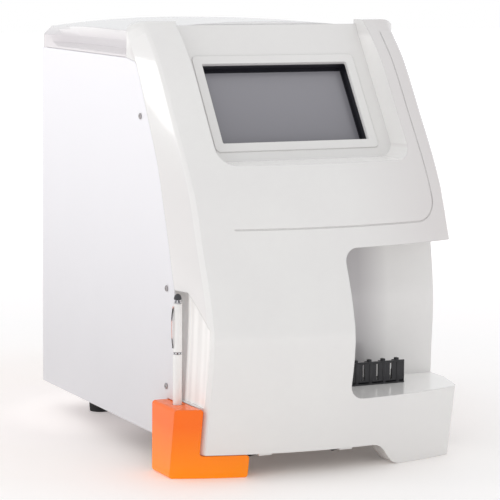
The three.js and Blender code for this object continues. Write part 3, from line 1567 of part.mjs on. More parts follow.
/** Ring between the barrels. */
function stylusRing() {
  const { radius, joint, ringHeight, taper } = stylus;
  const ringRadius = radius + taper / 4;
  const top = joint + ringHeight;
  return stylusTurned([[0, joint], [ringRadius, joint], [ringRadius, top], [0, top]]);
}

/** Upper barrel. */
function stylusUpper() {
  const { radius, joint, ringHeight, shoulder, taper } = stylus;
  const low = joint + ringHeight + seat;
  return stylusTurned([
    [0, low], [radius, low], [radius, shoulder - taper], [radius - taper, shoulder], [0, shoulder],
  ]);
}

/** Metal collar under the rubber tip. */
function stylusCollar() {
  const { shoulder, collarHeight, neck, radius } = stylus;
  const low = shoulder + seat;
  return stylusTurned([[0, low], [radius - seat, low], [neck, low + collarHeight], [0, low + collarHeight]]);
}

/** Domed rubber tip. */
function stylusTip() {
  const { shoulder, collarHeight, tipRadius, tipHeight, neck } = stylus;
  const low = shoulder + collarHeight + seat * 2;
  const points = [[0, low], [neck, low]];
  for (let i = 0; i <= arcSteps; i += 1) {
    const angle = (Math.PI / 2) * (i / arcSteps);
    const out = Math.max(tipRadius * Math.cos(angle), 0);
    points.push([out, low + seat + (tipHeight - seat) * Math.sin(angle)]);
  }
  points[points.length - 1][0] = 0;
  return stylusTurned(points);
}

/** Spring clip on the left of the stylus, bent over to the barrel at its top. */
function stylusClip() {
  const y = fromFront(stylus.back);
  const near = stylus.x - stylus.radius - seat;
  const far = near - clip.stand - clip.thickness;
  const half = clip.width / 2;
  return join(
    blockBetween(far, far + clip.thickness, y - half, y + half, clip.bottom, clip.top),
    blockBetween(far, near, y - half, y + half, clip.top - clip.footHeight, clip.top),
    blockBetween(far, near - seat, y - half, y + half, clip.bottom, clip.bottom + clip.footHeight / 2),
  );
}

// Finishes
const finishes = {
  whiteGloss: { color: 0xe6e5e3, roughness: 0.18, metalness: 0 },
  panelWhite: { color: 0xdddce1, roughness: 0.45, metalness: 0 },
  orangeGloss: { color: 0xfb7a28, roughness: 0.16, metalness: 0 },
  blackPlastic: { color: 0x1c1c20, roughness: 0.45, metalness: 0 },
  rubber: { color: 0x2a2a2c, roughness: 0.8, metalness: 0 },
  screenGlass: { color: 0x86868c, roughness: 0.08, metalness: 0 },
  steel: { color: 0xb4b6b8, roughness: 0.35, metalness: 1 },
  chrome: { color: 0xd2d2d4, roughness: 0.12, metalness: 1 },
  board: { color: 0x1f5a3a, roughness: 0.5, metalness: 0 },
  carton: { color: 0xd8d4cc, roughness: 0.6, metalness: 0 },
  clearPlastic: { color: 0xc8d2d8, roughness: 0.2, metalness: 0 },
};

const analyzer = new THREE.Group();
analyzer.position.x = (block.proud - panelScrew.headHeight - seat / 2) / 2;

/** Adds a named mesh to the instrument. */
function addPiece(name, solid, finish) {
  const mesh = new THREE.Mesh(toGeometry(solid), new THREE.MeshStandardMaterial(finishes[finish]));
  mesh.name = name;
  analyzer.add(mesh);
}

addPiece('front_fascia', frontFascia(), 'whiteGloss');
addPiece('top_cover', topCover(), 'whiteGloss');
addPiece('left_side_panel', sidePanel(true), 'panelWhite');
addPiece('right_side_panel', sidePanel(false), 'panelWhite');
addPiece('rear_panel', rearSheet(), 'panelWhite');
addPiece('base_plate', basePlate(), 'steel');
addPiece('bulkhead', innerBulkhead(), 'steel');
addPiece('foot_rear_left', rubberFoot(-foot.x), 'rubber');
addPiece('foot_rear_right', rubberFoot(foot.x), 'rubber');
addPiece('corner_holder', cornerHolder(), 'orangeGloss');
addPiece('stylus_barrel_lower', stylusLower(), 'whiteGloss');
addPiece('stylus_ring', stylusRing(), 'chrome');
addPiece('stylus_barrel_upper', stylusUpper(), 'whiteGloss');
addPiece('stylus_collar', stylusCollar(), 'chrome');
addPiece('stylus_tip', stylusTip(), 'rubber');
addPiece('stylus_clip', stylusClip(), 'chrome');
addPiece('screen_frame', screenFrame(), 'blackPlastic');
addPiece('touch_glass', touchGlass(), 'screenGlass');
addPiece('display_module', displayModule(), 'blackPlastic');
addPiece('sample_rack', sampleRack(), 'blackPlastic');
addPiece('rack_tunnel', rackTunnel(), 'steel');
addPiece('probe_frame', probeFrame(), 'steel');
addPiece('probe_rod', probeRod(), 'chrome');
addPiece('probe_screw', probeScrew(), 'steel');
addPiece('probe_motor', probeMotor(), 'blackPlastic');
addPiece('probe_carriage', probeCarriage(), 'blackPlastic');
addPiece('probe_needle', probeNeedle(), 'steel');
addPiece('pump_housing', pumpHousing(), 'blackPlastic');
addPiece('pump_rotor', pumpRotor(), 'whiteGloss');
for (let i = 0; i < pump.rollers; i += 1) addPiece(`pump_roller_${i + 1}`, pumpRoller(i), 'steel');
addPiece('pump_motor', pumpMotor(), 'steel');
addPiece('electrode_housing', electrodeHousing(), 'blackPlastic');
electrodeNames.forEach((name, i) => addPiece(`electrode_${name}`, electrode(i), 'clearPlastic'));
addPiece('valve_block', valveBlock(), 'clearPlastic');
addPiece('reagent_pack', reagentPack(), 'carton');
addPiece('main_board', mainBoard(), 'board');
addPiece('power_supply', powerSupply(), 'steel');
addPiece('fan_frame', fanFrame(), 'blackPlastic');
addPiece('fan_rotor', fanRotor(), 'blackPlastic');
addPiece('power_inlet', powerInlet(), 'blackPlastic');
addPiece('power_rocker', powerRocker(), 'blackPlastic');
addPiece('data_port', dataPort(), 'steel');
['left', 'right'].forEach((side) => panelScrew.heights.forEach((z, i) => {
  addPiece(`panel_screw_${side}_${i + 1}`, sideScrew(side === 'left', z), 'steel');
}));

export default analyzer;
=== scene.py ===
"""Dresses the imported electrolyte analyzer: mouldings, painted sheet, screen, stylus and rack."""

import logging
import math
from collections.abc import Callable, Iterable, Sequence
from dataclasses import dataclass, field
from enum import Enum

import bmesh
import bpy
from mathutils import Matrix, Vector


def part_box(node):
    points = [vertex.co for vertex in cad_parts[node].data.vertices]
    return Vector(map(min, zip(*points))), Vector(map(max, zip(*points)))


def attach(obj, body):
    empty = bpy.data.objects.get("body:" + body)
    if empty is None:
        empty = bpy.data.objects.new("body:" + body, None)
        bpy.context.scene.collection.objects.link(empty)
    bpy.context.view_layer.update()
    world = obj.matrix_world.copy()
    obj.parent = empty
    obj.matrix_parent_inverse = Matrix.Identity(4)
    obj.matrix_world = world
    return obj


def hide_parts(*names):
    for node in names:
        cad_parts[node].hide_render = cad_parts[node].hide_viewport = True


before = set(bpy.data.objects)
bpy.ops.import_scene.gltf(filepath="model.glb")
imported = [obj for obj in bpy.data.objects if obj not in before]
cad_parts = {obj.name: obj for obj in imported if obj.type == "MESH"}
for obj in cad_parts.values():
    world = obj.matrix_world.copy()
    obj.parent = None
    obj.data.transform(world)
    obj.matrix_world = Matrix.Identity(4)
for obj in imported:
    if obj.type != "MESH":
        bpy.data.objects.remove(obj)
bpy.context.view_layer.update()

log = logging.getLogger("analyzer")

Color = tuple[float, float, float]
Point = tuple[float, float, float]
Span = tuple[float, float]
Socket = bpy.types.NodeSocket
Work = bmesh.types.BMesh

MM = 0.001
WELD = 0.01 * MM
CENTRE_X = 6.975 * MM
FRONT_Y = -210 * MM
SHARP_ANGLE = 32
WHITE = (1.0, 1.0, 1.0, 1.0)
MIX_INPUTS, MIX_RESULT = (0, 6, 7), 2
READY_STOPS = 2
ROUND_PROFILE = 0.5
FLOAT, COLOR, VECTOR = "NodeSocketFloat", "NodeSocketColor", "NodeSocketVector"


class Body(Enum):
    """The moving groups that the scene's own pieces ride on."""

    CHASSIS = "chassis"
    STYLUS = "stylus"
    RACK = "rack"


class Slot(Enum):
    """The record's material slots."""

    FASCIA = "fascia"
    COVER = "cover"
    SIDE_PANEL = "side_panel"
    REAR_PANEL = "rear_panel"
    ACCENT = "accent"
    STYLUS = "stylus"
    STYLUS_METAL = "stylus_metal"
    STYLUS_RUBBER = "stylus_rubber"
    SCREEN_GLASS = "screen_glass"
    BLACK_PARTS = "black_parts"
    RACK = "rack"
    CHASSIS_STEEL = "chassis_steel"
    BRIGHT_STEEL = "bright_steel"
    SCREWS = "screws"
    RUBBER_FEET = "rubber_feet"
    PUMP_WHEEL = "pump_wheel"
    ELECTRODES = "electrodes"
    CARTON = "carton"
    BOARD = "board"


class Axis(Enum):
    """A direction that streaks, tones or masks run along."""

    X = 0
    Y = 1
    Z = 2


class NodeSheet:
    """A thin hand for placing and joining the nodes of one tree."""

    def __init__(self, tree: bpy.types.NodeTree) -> None:
        """Keeps the tree that is being filled."""
        self.tree = tree

    def place(self, kind: str, **values: object) -> bpy.types.Node:
        """Adds a node and sets its inputs and properties.

        Args:
            kind: the node's type name.
            **values: inputs by label with underscores for spaces, or node properties. A
                socket as a value is joined, anything else is set.

        Returns:
            The new node.
        """
        node = self.tree.nodes.new(kind)
        for key, value in values.items():
            label = key.replace("_", " ")
            names = [s.name for s in node.inputs]
            if label in names:
                self.feed(node.inputs[names.index(label)], value)
            else:
                setattr(node, key, value)
        return node

    def feed(self, socket: Socket, value: object) -> None:
        """Joins a socket to another one or sets its value.

        Args:
            socket: the input.
            value: the socket that it is joined to, or its value.
        """
        if isinstance(value, Socket):
            self.tree.links.new(value, socket)
        else:
            socket.default_value = value

    def maths(self, operation: str, *values: object) -> Socket:
        """Adds a sum on values or sockets.

        Args:
            operation: the name of the sum.
            *values: its operands.

        Returns:
            The socket of the result.
        """
        node = self.tree.nodes.new("ShaderNodeMath")
        node.operation = operation
        for socket, value in zip(node.inputs, values):
            self.feed(socket, value)
        return node.outputs[0]

    def product(self, *values: object) -> Socket:
        """Multiplies values or sockets.

        Args:
            *values: two or more factors.

        Returns:
            The socket of the result.
        """
        total = values[0]
        for value in values[1:]:
            total = self.maths("MULTIPLY", total, value)
        return total

    def mix(self, share: object, low: object, high: object) -> Socket:
        """Blends two colours.

        Args:
            share: how much of the second colour shows.
            low: the first colour.
            high: the second colour.

        Returns:
            The socket of the blended colour.
        """
        node = self.tree.nodes.new("ShaderNodeMix")
        node.data_type = "RGBA"
        for index, value in zip(MIX_INPUTS, (share, low, high)):
            self.feed(node.inputs[index], value)
        return node.outputs[MIX_RESULT]

    def spread(self, value: object, low: float, high: float, to_low: float = 0.0,
               to_high: float = 1.0) -> Socket:
        """Maps a range to another one, held at its ends.

        Args:
            value: the socket to map.
            low: start of its range.
            high: end of its range.
            to_low: what the start becomes.
            to_high: what the end becomes.

        Returns:
            The socket of the mapped value.
        """
        node = self.tree.nodes.new("ShaderNodeMapRange")
        for index, item in enumerate((value, low, high, to_low, to_high)):
            self.feed(node.inputs[index], item)
        return node.outputs[0]

    def within(self, value: object, low: float, high: float, fade: float) -> Socket:
        """Masks the range from low to high, which fades inside both ends."""
        return self.product(self.spread(value, low, low + fade),
                            self.spread(value, high - fade, high, 1.0, 0.0))

    def local(self, output: str = "Object") -> Socket:
        """Gives the piece's own coordinates, or another output of their node."""
        return self.place("ShaderNodeTexCoord").outputs[output]

    def local_part(self, axis: Axis, output: str = "Object") -> Socket:
        """Gives one axis of the piece's own coordinates or of its own normal."""
        parts = self.place("ShaderNodeSeparateXYZ", Vector=self.local(output))
        return parts.outputs[axis.value]

    def noise(self, scale: object, detail: float,
              stretch: Point = (1, 1, 1)) -> Socket:
        """Adds noise in the piece's own space.

        Args:
            scale: how fine it is.
            detail: how many octaves it has.
            stretch: how it is squeezed along the three axes.

        Returns:
            The socket of its value.
        """
        mapped = self.place("ShaderNodeMapping", Vector=self.local(), Scale=stretch)
        return self.place("ShaderNodeTexNoise", Vector=mapped.outputs[0], Scale=scale,
                          Detail=detail).outputs["Fac"]


@dataclass(frozen=True)
class Effect:
    """A shader group that several finishes place with their own values."""

    name: str
    inputs: tuple[tuple[str, str, object], ...]
    outputs: tuple[tuple[str, str], ...]
    fill: Callable[[NodeSheet, bpy.types.Node], tuple[object, ...]]

    def group(self) -> bpy.types.NodeTree:
        """Builds the group once.

        Returns:
            The shared node group.
        """
        ready = bpy.data.node_groups.get(self.name)
        if ready:
            return ready
        tree = bpy.data.node_groups.new(self.name, "ShaderNodeTree")
        for name, kind, value in self.inputs:
            socket = tree.interface.new_socket(name, in_out="INPUT", socket_type=kind)
            socket.default_value = value
        for name, kind in self.outputs:
            tree.interface.new_socket(name, in_out="OUTPUT", socket_type=kind)
        sheet = NodeSheet(tree)
        entry = tree.nodes.new("NodeGroupInput")
        leave = tree.nodes.new("NodeGroupOutput")
        for socket, value in zip(leave.inputs, self.fill(sheet, entry)):
            sheet.feed(socket, value)
        return tree

    def use(self, sheet: NodeSheet, **values: object) -> bpy.types.Node:
        """Places the group in a material.

        Args:
            sheet: the material's node sheet.
            **values: its inputs by name.

        Returns:
            The group's node.
        """
        node = sheet.tree.nodes.new("ShaderNodeGroup")
        node.node_tree = self.group()
        for key, value in values.items():
            sheet.feed(node.inputs[key.replace("_", " ")], value)
        return node


BROAD_DETAIL, FINE_DETAIL, FINE_RATIO = 2.0, 4.0, 9.0
BROAD_SHARE, FINE_SHARE = 0.7, 0.3
PATCH_RANGE = (0.35, 0.65)
WAVE_DETAIL, GRAIN_DETAIL, NOISE_MIDDLE = 1.0, 4.0, 0.5
BEVEL_SAMPLES = 6
TURN_RANGE = (0.02, 0.3)
BREAK_SCALE, BREAK_DETAIL, BREAK_RANGE = 220.0, 3.0, (0.35, 0.6)
UPWARD_RANGE = (0.55, 1.0)
DUST_SCALE, DUST_DETAIL, DUST_RANGE = 60.0, 5.0, (0.4, 0.75)
FILM_ROUGHNESS = 0.3


def fill_cloudy_tone(sheet: NodeSheet, entry: bpy.types.Node) -> tuple[object, ...]:
    """Wanders a colour a little over large and small patches.

    Args:
        sheet: the group's node sheet.
        entry: the group's input node.

    Returns:
        The varied colour.
    """
    given = entry.outputs
    broad = sheet.noise(given["Scale"], BROAD_DETAIL)
    fine = sheet.noise(sheet.product(given["Scale"], FINE_RATIO), FINE_DETAIL)
    both = sheet.maths("ADD", sheet.product(broad, BROAD_SHARE), sheet.product(fine, FINE_SHARE))
    share = sheet.product(sheet.spread(both, *PATCH_RANGE), given["Amount"])
    return (sheet.mix(share, given["Color"], given["Second Color"]),)


def fill_surface_grain(sheet: NodeSheet, entry: bpy.types.Node) -> tuple[object, ...]:
    """Mixes a long soft waviness with a fine skin texture as one height.

    Args:
        sheet: the group's node sheet.
        entry: the group's input node.

    Returns:
        The height and the roughness that goes with it.
    """
    given = entry.outputs
    wave = sheet.noise(given["Wave Scale"], WAVE_DETAIL)
    grain = sheet.noise(given["Grain Scale"], GRAIN_DETAIL)
    height = sheet.maths("ADD", sheet.product(wave, given["Wave"]),
                         sheet.product(grain, given["Grain"]))
    rough = sheet.maths("MULTIPLY_ADD", sheet.maths("SUBTRACT", grain, NOISE_MIDDLE),
                        given["Uneven"], given["Roughness"])
    return height, rough


def fill_edge_wear(sheet: NodeSheet, entry: bpy.types.Node) -> tuple[object, ...]:
    """Rounds the edges for the eye and marks where hands rub them.

    Args:
        sheet: the group's node sheet.
        entry: the group's input node.

    Returns:
        The rounded normal and the rubbed mask.
    """
    soft = sheet.place("ShaderNodeBevel", samples=BEVEL_SAMPLES, Radius=entry.outputs["Radius"])
    facing = sheet.place("ShaderNodeNewGeometry")
    dot = sheet.place("ShaderNodeVectorMath", operation="DOT_PRODUCT")
    sheet.feed(dot.inputs[0], soft.outputs[0])
    sheet.feed(dot.inputs[1], facing.outputs["Normal"])
    turn = sheet.maths("SUBTRACT", 1.0, dot.outputs["Value"])
    rubbed = sheet.product(sheet.spread(turn, *TURN_RANGE), entry.outputs["Amount"])
    broken = sheet.spread(sheet.noise(BREAK_SCALE, BREAK_DETAIL), *BREAK_RANGE)
    return soft.outputs[0], sheet.product(rubbed, broken)


def fill_settled_dust(sheet: NodeSheet, entry: bpy.types.Node) -> tuple[object, ...]:
    """Marks the faint film that settles on faces that look up.

    Args:
        sheet: the group's node sheet.
        entry: the group's input node.

    Returns:
        The mask of the film.
    """
    facing = sheet.place("ShaderNodeNewGeometry")
    parts = sheet.place("ShaderNodeSeparateXYZ", Vector=facing.outputs["Normal"])
    upward = sheet.spread(parts.outputs["Z"], *UPWARD_RANGE)
    patchy = sheet.spread(sheet.noise(DUST_SCALE, DUST_DETAIL), *DUST_RANGE)
    return (sheet.product(upward, patchy, entry.outputs["Amount"]),)


CLOUDY_TONE = Effect(
    "cloudy_tone",
    (("Color", COLOR, WHITE), ("Second Color", COLOR, WHITE), ("Amount", FLOAT, 0.5),
     ("Scale", FLOAT, 12.0)),
    (("Color", COLOR),), fill_cloudy_tone)
SURFACE_GRAIN = Effect(
    "surface_grain",
    (("Wave Scale", FLOAT, 8.0), ("Wave", FLOAT, 1.0), ("Grain Scale", FLOAT, 900.0),
     ("Grain", FLOAT, 0.1), ("Roughness", FLOAT, 0.3), ("Uneven", FLOAT, 0.1)),
    (("Height", FLOAT), ("Roughness", FLOAT)), fill_surface_grain)
EDGE_WEAR = Effect(
    "edge_wear", (("Radius", FLOAT, 0.001), ("Amount", FLOAT, 0.3)),
    (("Normal", VECTOR), ("Mask", FLOAT)), fill_edge_wear)
SETTLED_DUST = Effect(
    "settled_dust", (("Amount", FLOAT, 0.1),), (("Mask", FLOAT),), fill_settled_dust)

SCREEN_WHITE, FOOT_END = 255, 10
FOOT_SLOPE, CURVE_LIFT, CURVE_POWER = 12.92, 0.055, 2.4


def shade(red: int, green: int, blue: int) -> Color:
    """Turns screen numbers from 0 to 255 into light values.

    Args:
        red: red of the screen colour.
        green: green of the screen colour.
        blue: blue of the screen colour.

    Returns:
        The linear colour.
    """
    def light(value: int) -> float:
        """Undoes the screen curve of one channel."""
        curved = ((value / SCREEN_WHITE + CURVE_LIFT) / (1 + CURVE_LIFT)) ** CURVE_POWER
        return curved if value > FOOT_END else value / SCREEN_WHITE / FOOT_SLOPE
    return light(red), light(green), light(blue)


def new_material(name: str) -> bpy.types.Material:
    """Makes an empty node material.

    Args:
        name: the material's name.

    Returns:
        The material.
    """
    made = bpy.data.materials.new(name)
    made.use_nodes = True
    made.node_tree.nodes.clear()
    return made


@dataclass(frozen=True)
class Finish:
    """A surface finish with its colour, its skin and the marks of use."""

    name: str
    slot: Slot
    color: Color
    second: Color
    mottle: float = 0.5
    mottle_scale: float = 14.0
    roughness: float = 0.3
    uneven: float = 0.06
    metallic: float = 0.0
    coat: float = 0.0
    coat_roughness: float = 0.05
    wave: float = 0.0
    wave_scale: float = 9.0
    grain: float = 0.15
    grain_scale: float = 1400.0
    relief: float = 0.00002
    edge: float = 0.0006
    rub: float = 0.15
    rub_color: Color = (0.9, 0.9, 0.9)
    dust: float = 0.06
    dust_color: Color = (0.75, 0.74, 0.72)
    specular: float = 0.5

    def material(self) -> bpy.types.Material:
        """Builds the material once.

        Returns:
            The finished material.
        """
        ready = bpy.data.materials.get(self.name)
        if ready:
            return ready
        made = new_material(self.name)
        sheet = NodeSheet(made.node_tree)
        tone = CLOUDY_TONE.use(sheet, Color=(*self.color, 1), Second_Color=(*self.second, 1),
                               Amount=self.mottle, Scale=self.mottle_scale)
        skin = SURFACE_GRAIN.use(sheet, Wave_Scale=self.wave_scale, Wave=self.wave,
                                 Grain_Scale=self.grain_scale, Grain=self.grain,
                                 Roughness=self.roughness, Uneven=self.uneven)
        edges = EDGE_WEAR.use(sheet, Radius=self.edge, Amount=self.rub)
        film = SETTLED_DUST.use(sheet, Amount=self.dust)
        color = self.pattern(sheet, tone.outputs["Color"])
        color = sheet.mix(edges.outputs["Mask"], color, (*self.rub_color, 1))
        color = sheet.mix(film.outputs["Mask"], color, (*self.dust_color, 1))
        rough = self.sheen(sheet, skin.outputs["Roughness"])
        rough = sheet.maths("MULTIPLY_ADD", film.outputs["Mask"], FILM_ROUGHNESS, rough)
        relief = sheet.place("ShaderNodeBump", Distance=self.relief,
                             Height=self.height(sheet, skin.outputs["Height"]),
                             Normal=edges.outputs["Normal"])
        surface = sheet.place("ShaderNodeBsdfPrincipled", Base_Color=color, Roughness=rough,
                              Metallic=self.metallic, Coat_Weight=self.coat,
                              Coat_Roughness=self.coat_roughness, Normal=relief.outputs[0],
                              Specular_IOR_Level=self.specular)
        # Painted light: where a finish lays a glow, the surface gives off light in its own colour.
        glow = self.glow(sheet)
        if glow is not None:
            sheet.feed(surface.inputs["Emission Color"], color)
            sheet.feed(surface.inputs["Emission Strength"], glow)
        sheet.place("ShaderNodeOutputMaterial", Surface=surface.outputs[0])
        return made

    def pattern(self, sheet: NodeSheet, color: Socket) -> Socket:
        """Lets a finish draw over the plain tone."""
        return color

    def sheen(self, sheet: NodeSheet, rough: Socket) -> Socket:
        """Lets a finish change the roughness."""
        return rough

    def height(self, sheet: NodeSheet, height: Socket) -> Socket:
        """Lets a finish add to the relief."""
        return height

    def glow(self, sheet: NodeSheet) -> Socket | None:
        """Lets a finish add painted light, a glow where the room's light falls on a part of it."""
        return None


@dataclass(frozen=True)
class HeightPaintedLight(Finish):
    """A finish with painted light: its tone changes softly with height, where light falls more on
    one end than the other.
    """

    low_z: float = 0.0
    high_z: float = 0.06
    painted_light_top: Color = (0.3, 0.3, 0.32)
    painted_bounce_low: float = 0.0
    painted_bounce_high: float = 0.0

    def pattern(self, sheet: NodeSheet, color: Socket) -> Socket:
        """Fades the tone from bottom to top, as painted light and shade."""
        share = sheet.spread(sheet.local_part(Axis.Z), self.low_z, self.high_z)
        return sheet.mix(share, color, (*self.painted_light_top, 1))

    def glow(self, sheet: NodeSheet) -> Socket | None:
        """Adds painted bounce light from the bright bench on the lower part, as a glow.

        Args:
            sheet: the material's node sheet.

        Returns:
            The strength of the painted light, or None for a finish without it.
        """
        if not self.painted_bounce_low:
            return None
        return sheet.spread(sheet.local_part(Axis.Z), self.low_z, self.high_z, self.painted_bounce_low,
                            self.painted_bounce_high)


@dataclass(frozen=True)
class Zone:
    """Walls inside a box that face one way."""

    low: Point
    high: Point
    way: Axis
    turn: Span
    fade: Point = (0.004, 0.004, 0.004)

    def mask(self, sheet: NodeSheet) -> Socket:
        """Masks the walls: their normal's share runs from none to all of the mask.

        Args:
            sheet: the material's node sheet.

        Returns:
            The mask.
        """
        parts = [sheet.spread(sheet.local_part(self.way, "Normal"), *self.turn)]
        for axis, low, high, fade in zip(Axis, self.low, self.high, self.fade):
            parts.append(sheet.within(sheet.local_part(axis), low, high, fade))
        return sheet.product(*parts)


@dataclass(frozen=True)
class FrontMoulding(Finish):
    """Glossy moulding with painted shade where it turns from the light and in the sample bay, and
    painted light in the niche, on the bay's shelf and in the screen pocket.
    """

    # Painted light: the niche's wall and the bands of painted highlight on it.
    niche: Zone = Zone((-0.135, -0.192, 0.058), (-0.1145, -0.1225, 0.172), Axis.X,
                       (-0.97, -0.99), (0.002, 0.004, 0.004))
    painted_niche_light: float = 0.3
    painted_band_highlight: float = 0.16
    band_core: float = 0.35
    bands: tuple[tuple[float, float, float], ...] = (
        (-0.132, 0.006, 1.0), (-0.145, 0.006, 0.8), (-0.163, 0.005, 0.45), (-0.178, 0.006, 0.7))
    # Painted reflection on the sample bay's shelf.
    shelf: Zone = Zone((-0.012, -0.215, 0.05), (0.16, -0.06, 0.22), Axis.Z, (0.85, 0.98))
    painted_shelf_reflection: float = 0.16
    # Painted light in the screen pocket.
    pocket: tuple[Zone, Zone] = (
        Zone((0.06, -0.25, 0.25), (0.14, 0.1, 0.4), Axis.X, (-0.1, -0.4)),
        Zone((-0.12, -0.25, 0.25), (0.14, 0.1, 0.31), Axis.Z, (0.64, 0.8)))
    painted_pocket_light: float = 0.12
    # Painted shade in the sample bay.
    bay: tuple[Zone, Zone] = (
        Zone((-0.012, -0.16, 0.05), (0.16, -0.06, 0.22), Axis.Y, (-0.1, -0.6)),
        Zone((-0.012, -0.16, 0.05), (0.16, -0.06, 0.22), Axis.X, (0.1, 0.6)))
    painted_bay_shade: Color = (0.525, 0.508, 0.515)
    bay_across: Span = (0.068, 0.1)
    # Painted shade where the bow turns right and on the left return.
    painted_far_shade: Color = (0.72, 0.692, 0.685)
    right_turn: Span = (0.04, 0.26)
    right_rise: Span = (0.1, 0.22)
    left_turn: Span = (-0.9, -0.96)
    left_end: Span = (-0.985, -0.975)
    left_share: float = 0.55

    def pattern(self, sheet: NodeSheet, color: Socket) -> Socket:
        """Paints shade where the moulding turns away from the room's light and in the sample bay's
        left corner.

        Args:
            sheet: the material's node sheet.
            color: the plain tone.

        Returns:
            The colour with painted shade.
        """
        turn = sheet.local_part(Axis.X, "Normal")
        right = sheet.product(sheet.spread(turn, *self.right_turn),
                              sheet.spread(sheet.local_part(Axis.Z), *self.right_rise))
        left = sheet.product(sheet.spread(turn, *self.left_turn, 0.0, self.left_share),
                             sheet.spread(turn, *self.left_end))
        # Painted shade on the right of the bow and on the left return.
        color = sheet.mix(sheet.maths("MAXIMUM", right, left), color, (*self.painted_far_shade, 1))
        # Painted shade on the sample bay's back and left walls, fading out towards the right.
        back = sheet.maths("MAXIMUM", *(zone.mask(sheet) for zone in self.bay))
        corner = sheet.spread(sheet.local_part(Axis.X), *self.bay_across, 1.0, 0.0)
        return sheet.mix(sheet.product(back, corner), color, (*self.painted_bay_shade, 1))

    def glow(self, sheet: NodeSheet) -> Socket | None:
        """Lays painted light as a glow: upright bands of painted highlight on the niche's wall,
        painted reflection on the bay's shelf and painted light in the pocket.

        Args:
            sheet: the material's node sheet.

        Returns:
            The strength of the painted light.
        """
        place = sheet.local_part(Axis.Y)
        # Painted light on the niche's wall, with bands of painted highlight.
        niche: object = self.painted_niche_light
        for middle, half, share in self.bands:
            off = sheet.maths("ABSOLUTE", sheet.maths("SUBTRACT", place, middle))
            band = sheet.spread(off, half * self.band_core, half, self.painted_band_highlight * share, 0.0)
            niche = sheet.maths("ADD", band, niche)
        total = sheet.product(self.niche.mask(sheet), niche)
        # Painted reflection on the bay's shelf.
        total = sheet.maths("MULTIPLY_ADD", self.shelf.mask(sheet), self.painted_shelf_reflection, total)
        # Painted light on the screen pocket's right wall and floor.
        pocket = sheet.maths("MAXIMUM", *(zone.mask(sheet) for zone in self.pocket))
        return sheet.maths("MULTIPLY_ADD", pocket, self.painted_pocket_light, total)


@dataclass(frozen=True)
class BrushedMetal(Finish):
    """Metal with fine streaks along one axis."""

    along: Axis = Axis.X
    streak: float = 0.12
    fineness: float = 900.0
    streak_detail: float = 2.0
    squeeze: float = 0.03

    def streaks(self, sheet: NodeSheet) -> Socket:
        """Draws the streaks as a value."""
        stretch = tuple(self.squeeze if axis is self.along else 1.0 for axis in Axis)
        return sheet.noise(self.fineness, self.streak_detail, stretch)

    def sheen(self, sheet: NodeSheet, rough: Socket) -> Socket:
        """Makes the streaks rougher and smoother in turn."""
        return sheet.maths("MULTIPLY_ADD", self.streaks(sheet), self.streak, rough)

    def height(self, sheet: NodeSheet, height: Socket) -> Socket:
        """Adds the streaks to the relief."""
        return sheet.maths("MULTIPLY_ADD", self.streaks(sheet), self.streak, height)


@dataclass(frozen=True)
class BandedTone(Finish):
    """A finish with soft bands of another colour at given heights."""

    bands: tuple[Span, ...] = ()
    band_color: Color = (0.02, 0.02, 0.02)
    fade: float = 0.0004

    def pattern(self, sheet: NodeSheet, color: Socket) -> Socket:
        """Draws each band over the tone.

        Args:
            sheet: the material's node sheet.
            color: the tone below.

        Returns:
            The banded colour.
        """
        place = sheet.local_part(Axis.Z)
        for low, high in self.bands:
            band = sheet.within(place, low - self.fade, high + self.fade, 2 * self.fade)
            color = sheet.mix(band, color, (*self.band_color, 1))
        return color


@dataclass(frozen=True)
class CircuitTracks(Finish):
    """Solder mask with tracks and copper pads."""

    track_color: Color = (0.05, 0.2, 0.1)
    pad_color: Color = (0.75, 0.55, 0.3)
    cell_scale: float = 260.0
    track_range: Span = (0.3, 0.33)
    track_share: float = 0.6
    pad_range: Span = (0.1, 0.08)

    def pattern(self, sheet: NodeSheet, color: Socket) -> Socket:
        """Draws tracks and pads over the mask.

        Args:
            sheet: the material's node sheet.
            color: the mask's tone.

        Returns:
            The colour with tracks and pads.
        """
        cells = sheet.place("ShaderNodeTexVoronoi", Vector=sheet.local(), Scale=self.cell_scale,
                            distance="CHEBYCHEV").outputs["Distance"]
        tracks = sheet.product(sheet.spread(cells, *self.track_range), self.track_share)
        color = sheet.mix(tracks, color, (*self.track_color, 1))
        return sheet.mix(sheet.spread(cells, *self.pad_range), color, (*self.pad_color, 1))


